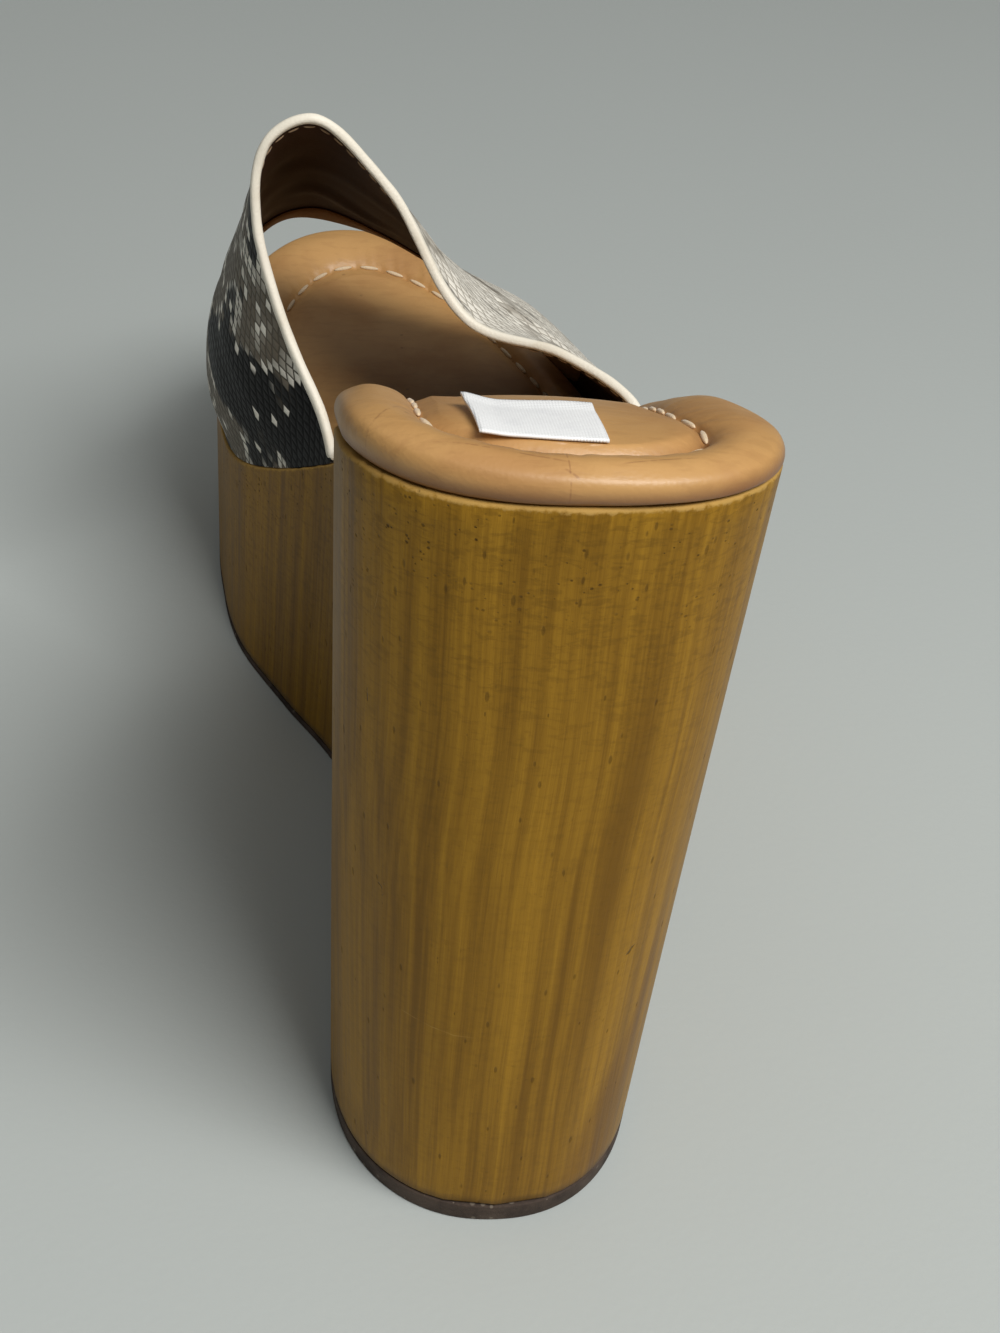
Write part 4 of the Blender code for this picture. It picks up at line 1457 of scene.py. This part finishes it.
def build_floor(settings):
    bm = bmesh.new()
    bmesh.ops.create_circle(bm, cap_ends=True, segments=FLOOR_SIDES, radius=FLOOR_RADIUS)
    mesh = bpy.data.meshes.new("floor")
    bm.to_mesh(mesh)
    bm.free()
    floor = add_object("floor", mesh)
    nodes = Material("Studio Floor", 0.62, 0.3)
    cloud = nodes.ramp(nodes.noise(nodes.place_on, 5.0, 3.0), 0.35, 0.7, 0.0, 0.12)
    base = nodes.blend(cloud, settings.floor, [part * 0.9 for part in settings.floor])
    dress(floor, nodes.paint(base, nodes.noise(nodes.place_on, 700.0), FLOOR_GRIT))


def area_light(name, box, power):
    data = bpy.data.lights.new(name, "AREA")
    data.shape = "RECTANGLE"
    data.size, data.size_y = box.sides
    data.energy = power
    light = add_object(name, data)
    light.location = box.place
    light.rotation_euler = (Vector(box.aim) - Vector(box.place)).to_track_quat("-Z", "Y").to_euler()


def build_camera(settings):
    data = bpy.data.cameras.new("camera")
    data.sensor_width = SENSOR_WIDTH
    data.lens = settings.lens
    data.clip_start, data.clip_end = CAMERA_CLIP
    camera = add_object("camera", data)
    heading, down, roll = (math.radians(angle) for angle in CAMERA_TURN)
    turn = Matrix.Rotation(-heading, 4, "Z") @ Matrix.Rotation(math.pi / 2.0 - down, 4, "X")
    camera.matrix_world = Matrix.Translation(CAMERA_PLACE) @ turn @ Matrix.Rotation(roll, 4, "Z")
    bpy.context.scene.camera = camera


def build_lights(settings):
    """Two soft lights and an even sky, which the camera sees brighter than it shines."""
    area_light("key", KEY, settings.key_power)
    area_light("fill", FILL, settings.fill_power)
    world = bpy.data.worlds.new("studio")
    world.use_nodes = True
    nodes = Nodes(world.node_tree)
    seen = nodes.add("ShaderNodeLightPath").outputs["Is Camera Ray"]
    strength = nodes.times_plus(seen, settings.backdrop - settings.sky, settings.sky)
    nodes.set_all(world.node_tree.nodes["Background"], {"Color": SKY_TONE, "Strength": strength})
    bpy.context.scene.world = world
    bpy.context.scene.view_settings.view_transform = "Standard"


# --- Operators


class SANDAL_OT_wood(bpy.types.Operator):
    """Shape the wooden heel and platform and grain them"""

    bl_idname = "sandal.wood"
    bl_label = "Wooden block"

    def execute(self, context):
        block = build_wood(context.scene.sandal_wood)
        wood_surface(block)
        dress(block, wood_material(context.scene.sandal_wood))
        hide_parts("wood_sole")
        return {"FINISHED"}


class SANDAL_OT_rubber(bpy.types.Operator):
    """Add the heel tap and the forefoot outsole"""

    bl_idname = "sandal.rubber"
    bl_label = "Heel tap and outsole"

    def execute(self, context):
        settings = context.scene.sandal_rubber
        edge = settings.edge / MM
        tap_ends, tread_ends = (HEEL_LEAN, BREAST_Y), (TREAD_START, LENGTH)
        tap = rubber_layer("heel_top_piece", tap_ends, (True, False), TAP_THICK, np.zeros_like, edge)
        tread = rubber_layer("forefoot_tread", tread_ends, (False, True), TREAD_THICK, tread_z, edge)
        material = rubber_material(settings)
        for layer, node in ((tap, "heel_tap"), (tread, "outsole")):
            dress(layer, material)
            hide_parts(node)
        return {"FINISHED"}


class SANDAL_OT_footbed(bpy.types.Operator):
    """Pad the footbed, wrap it in tan leather and stitch it"""

    bl_idname = "sandal.footbed"
    bl_label = "Footbed"

    def execute(self, context):
        settings = context.scene.sandal_footbed
        pad = build_footbed(settings)
        footbed_surface(pad)
        dress(pad, footbed_material(settings))
        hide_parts("footbed")
        line = stitch_line(footbed_shares(context.scene.sandal_studio.ring_points))
        ups = np.column_stack([np.zeros(len(line)), -seat_slope(line[:, 1]), np.ones(len(line))])
        pitch, length, thick = (part / MM for part in (settings.pitch, settings.stitch, settings.thickness))
        row = stitch_row("footbed_stitches", line, ups, pitch, length, thick, THREAD_RISE * thick, True)
        dress(row, thread_material("Footbed Thread", settings.thread))
        return {"FINISHED"}


class SANDAL_OT_band(bpy.types.Operator):
    """Lay the snakeskin band and its lining over the instep"""

    bl_idname = "sandal.band"
    bl_label = "Band"

    def execute(self, context):
        settings = context.scene.sandal_band
        skin = band_sheet("band_snakeskin", 0.0, SKIN_THICK, 0, BAND_ALONG)
        unwrap_band(skin)
        dress(skin, snakeskin_material(settings))
        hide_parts("upper")
        inside = SKIN_THICK + LINING_GAP
        lining = band_sheet("band_lining", inside, SHOWN_WALL - inside, 0, BAND_ALONG - 1)
        dress(lining, lining_material("Lining Leather", settings.lining))
        painted_highlight_hem = build_hem()
        # The hem wears a lighter copy of the lining leather, a painted highlight on its turned edge
        dress(painted_highlight_hem, lining_material("Hem Leather Painted Highlight", settings.painted_highlight_hem))
        return {"FINISHED"}


class SANDAL_OT_trim(bpy.types.Operator):
    """Bind the collar in cream and stitch the lining beside it"""

    bl_idname = "sandal.trim"
    bl_label = "Binding and lining stitches"

    def execute(self, context):
        settings = context.scene.sandal_trim
        dress(build_binding(settings), binding_material(settings))
        points, ups, outs = collar_frame(count=400)
        inwards = settings.binding_width / MM + BESIDE_BINDING
        line = points - ups * (SHOWN_WALL + UNDER_LINING) - outs * inwards
        pitch = settings.pitch / MM
        length = LINING_STITCH * pitch
        row = stitch_row("lining_stitches", line, -ups, pitch, length, LINING_THREAD, LINING_RISE, False)
        dress(row, thread_material("Lining Thread", settings.thread))
        return {"FINISHED"}


class SANDAL_OT_label(bpy.types.Operator):
    """Lay the blank label on the heel pad"""

    bl_idname = "sandal.label"
    bl_label = "Label"

    def execute(self, context):
        settings = context.scene.sandal_trim
        dress(build_label(settings), label_material(settings))
        return {"FINISHED"}


class SANDAL_OT_studio(bpy.types.Operator):
    """Set up the floor, the soft lights and the camera"""

    bl_idname = "sandal.studio"
    bl_label = "Studio"

    def execute(self, context):
        settings = context.scene.sandal_studio
        build_camera(settings)
        build_floor(settings)
        build_lights(settings)
        return {"FINISHED"}


OPERATORS = (
    SANDAL_OT_studio,
    SANDAL_OT_wood,
    SANDAL_OT_rubber,
    SANDAL_OT_footbed,
    SANDAL_OT_band,
    SANDAL_OT_trim,
    SANDAL_OT_label,
)


class SANDAL_PT_pieces(bpy.types.Panel):
    """Pieces of the sandal and their settings"""

    bl_idname = "SANDAL_PT_pieces"
    bl_label = "Platform mule"
    bl_space_type = "VIEW_3D"
    bl_region_type = "UI"
    bl_category = "Sandal"

    def draw(self, context):
        for operator in OPERATORS:
            self.layout.operator(operator.bl_idname)
        for name, group in GROUPS.items():
            box = self.layout.box()
            for prop in group.__annotations__:
                box.prop(getattr(context.scene, name), prop)


def register():
    for name, group in GROUPS.items():
        bpy.utils.register_class(group)
        setattr(bpy.types.Scene, name, PointerProperty(type=group))
    for made in (*OPERATORS, SANDAL_PT_pieces):
        bpy.utils.register_class(made)


def unregister():
    for made in (SANDAL_PT_pieces, *reversed(OPERATORS)):
        bpy.utils.unregister_class(made)
    for name, group in GROUPS.items():
        delattr(bpy.types.Scene, name)
        bpy.utils.unregister_class(group)


def main():
    register()
    for operator in OPERATORS:
        getattr(bpy.ops.sandal, operator.bl_idname.split(".")[1])()


if __name__ == "__main__":
    main()
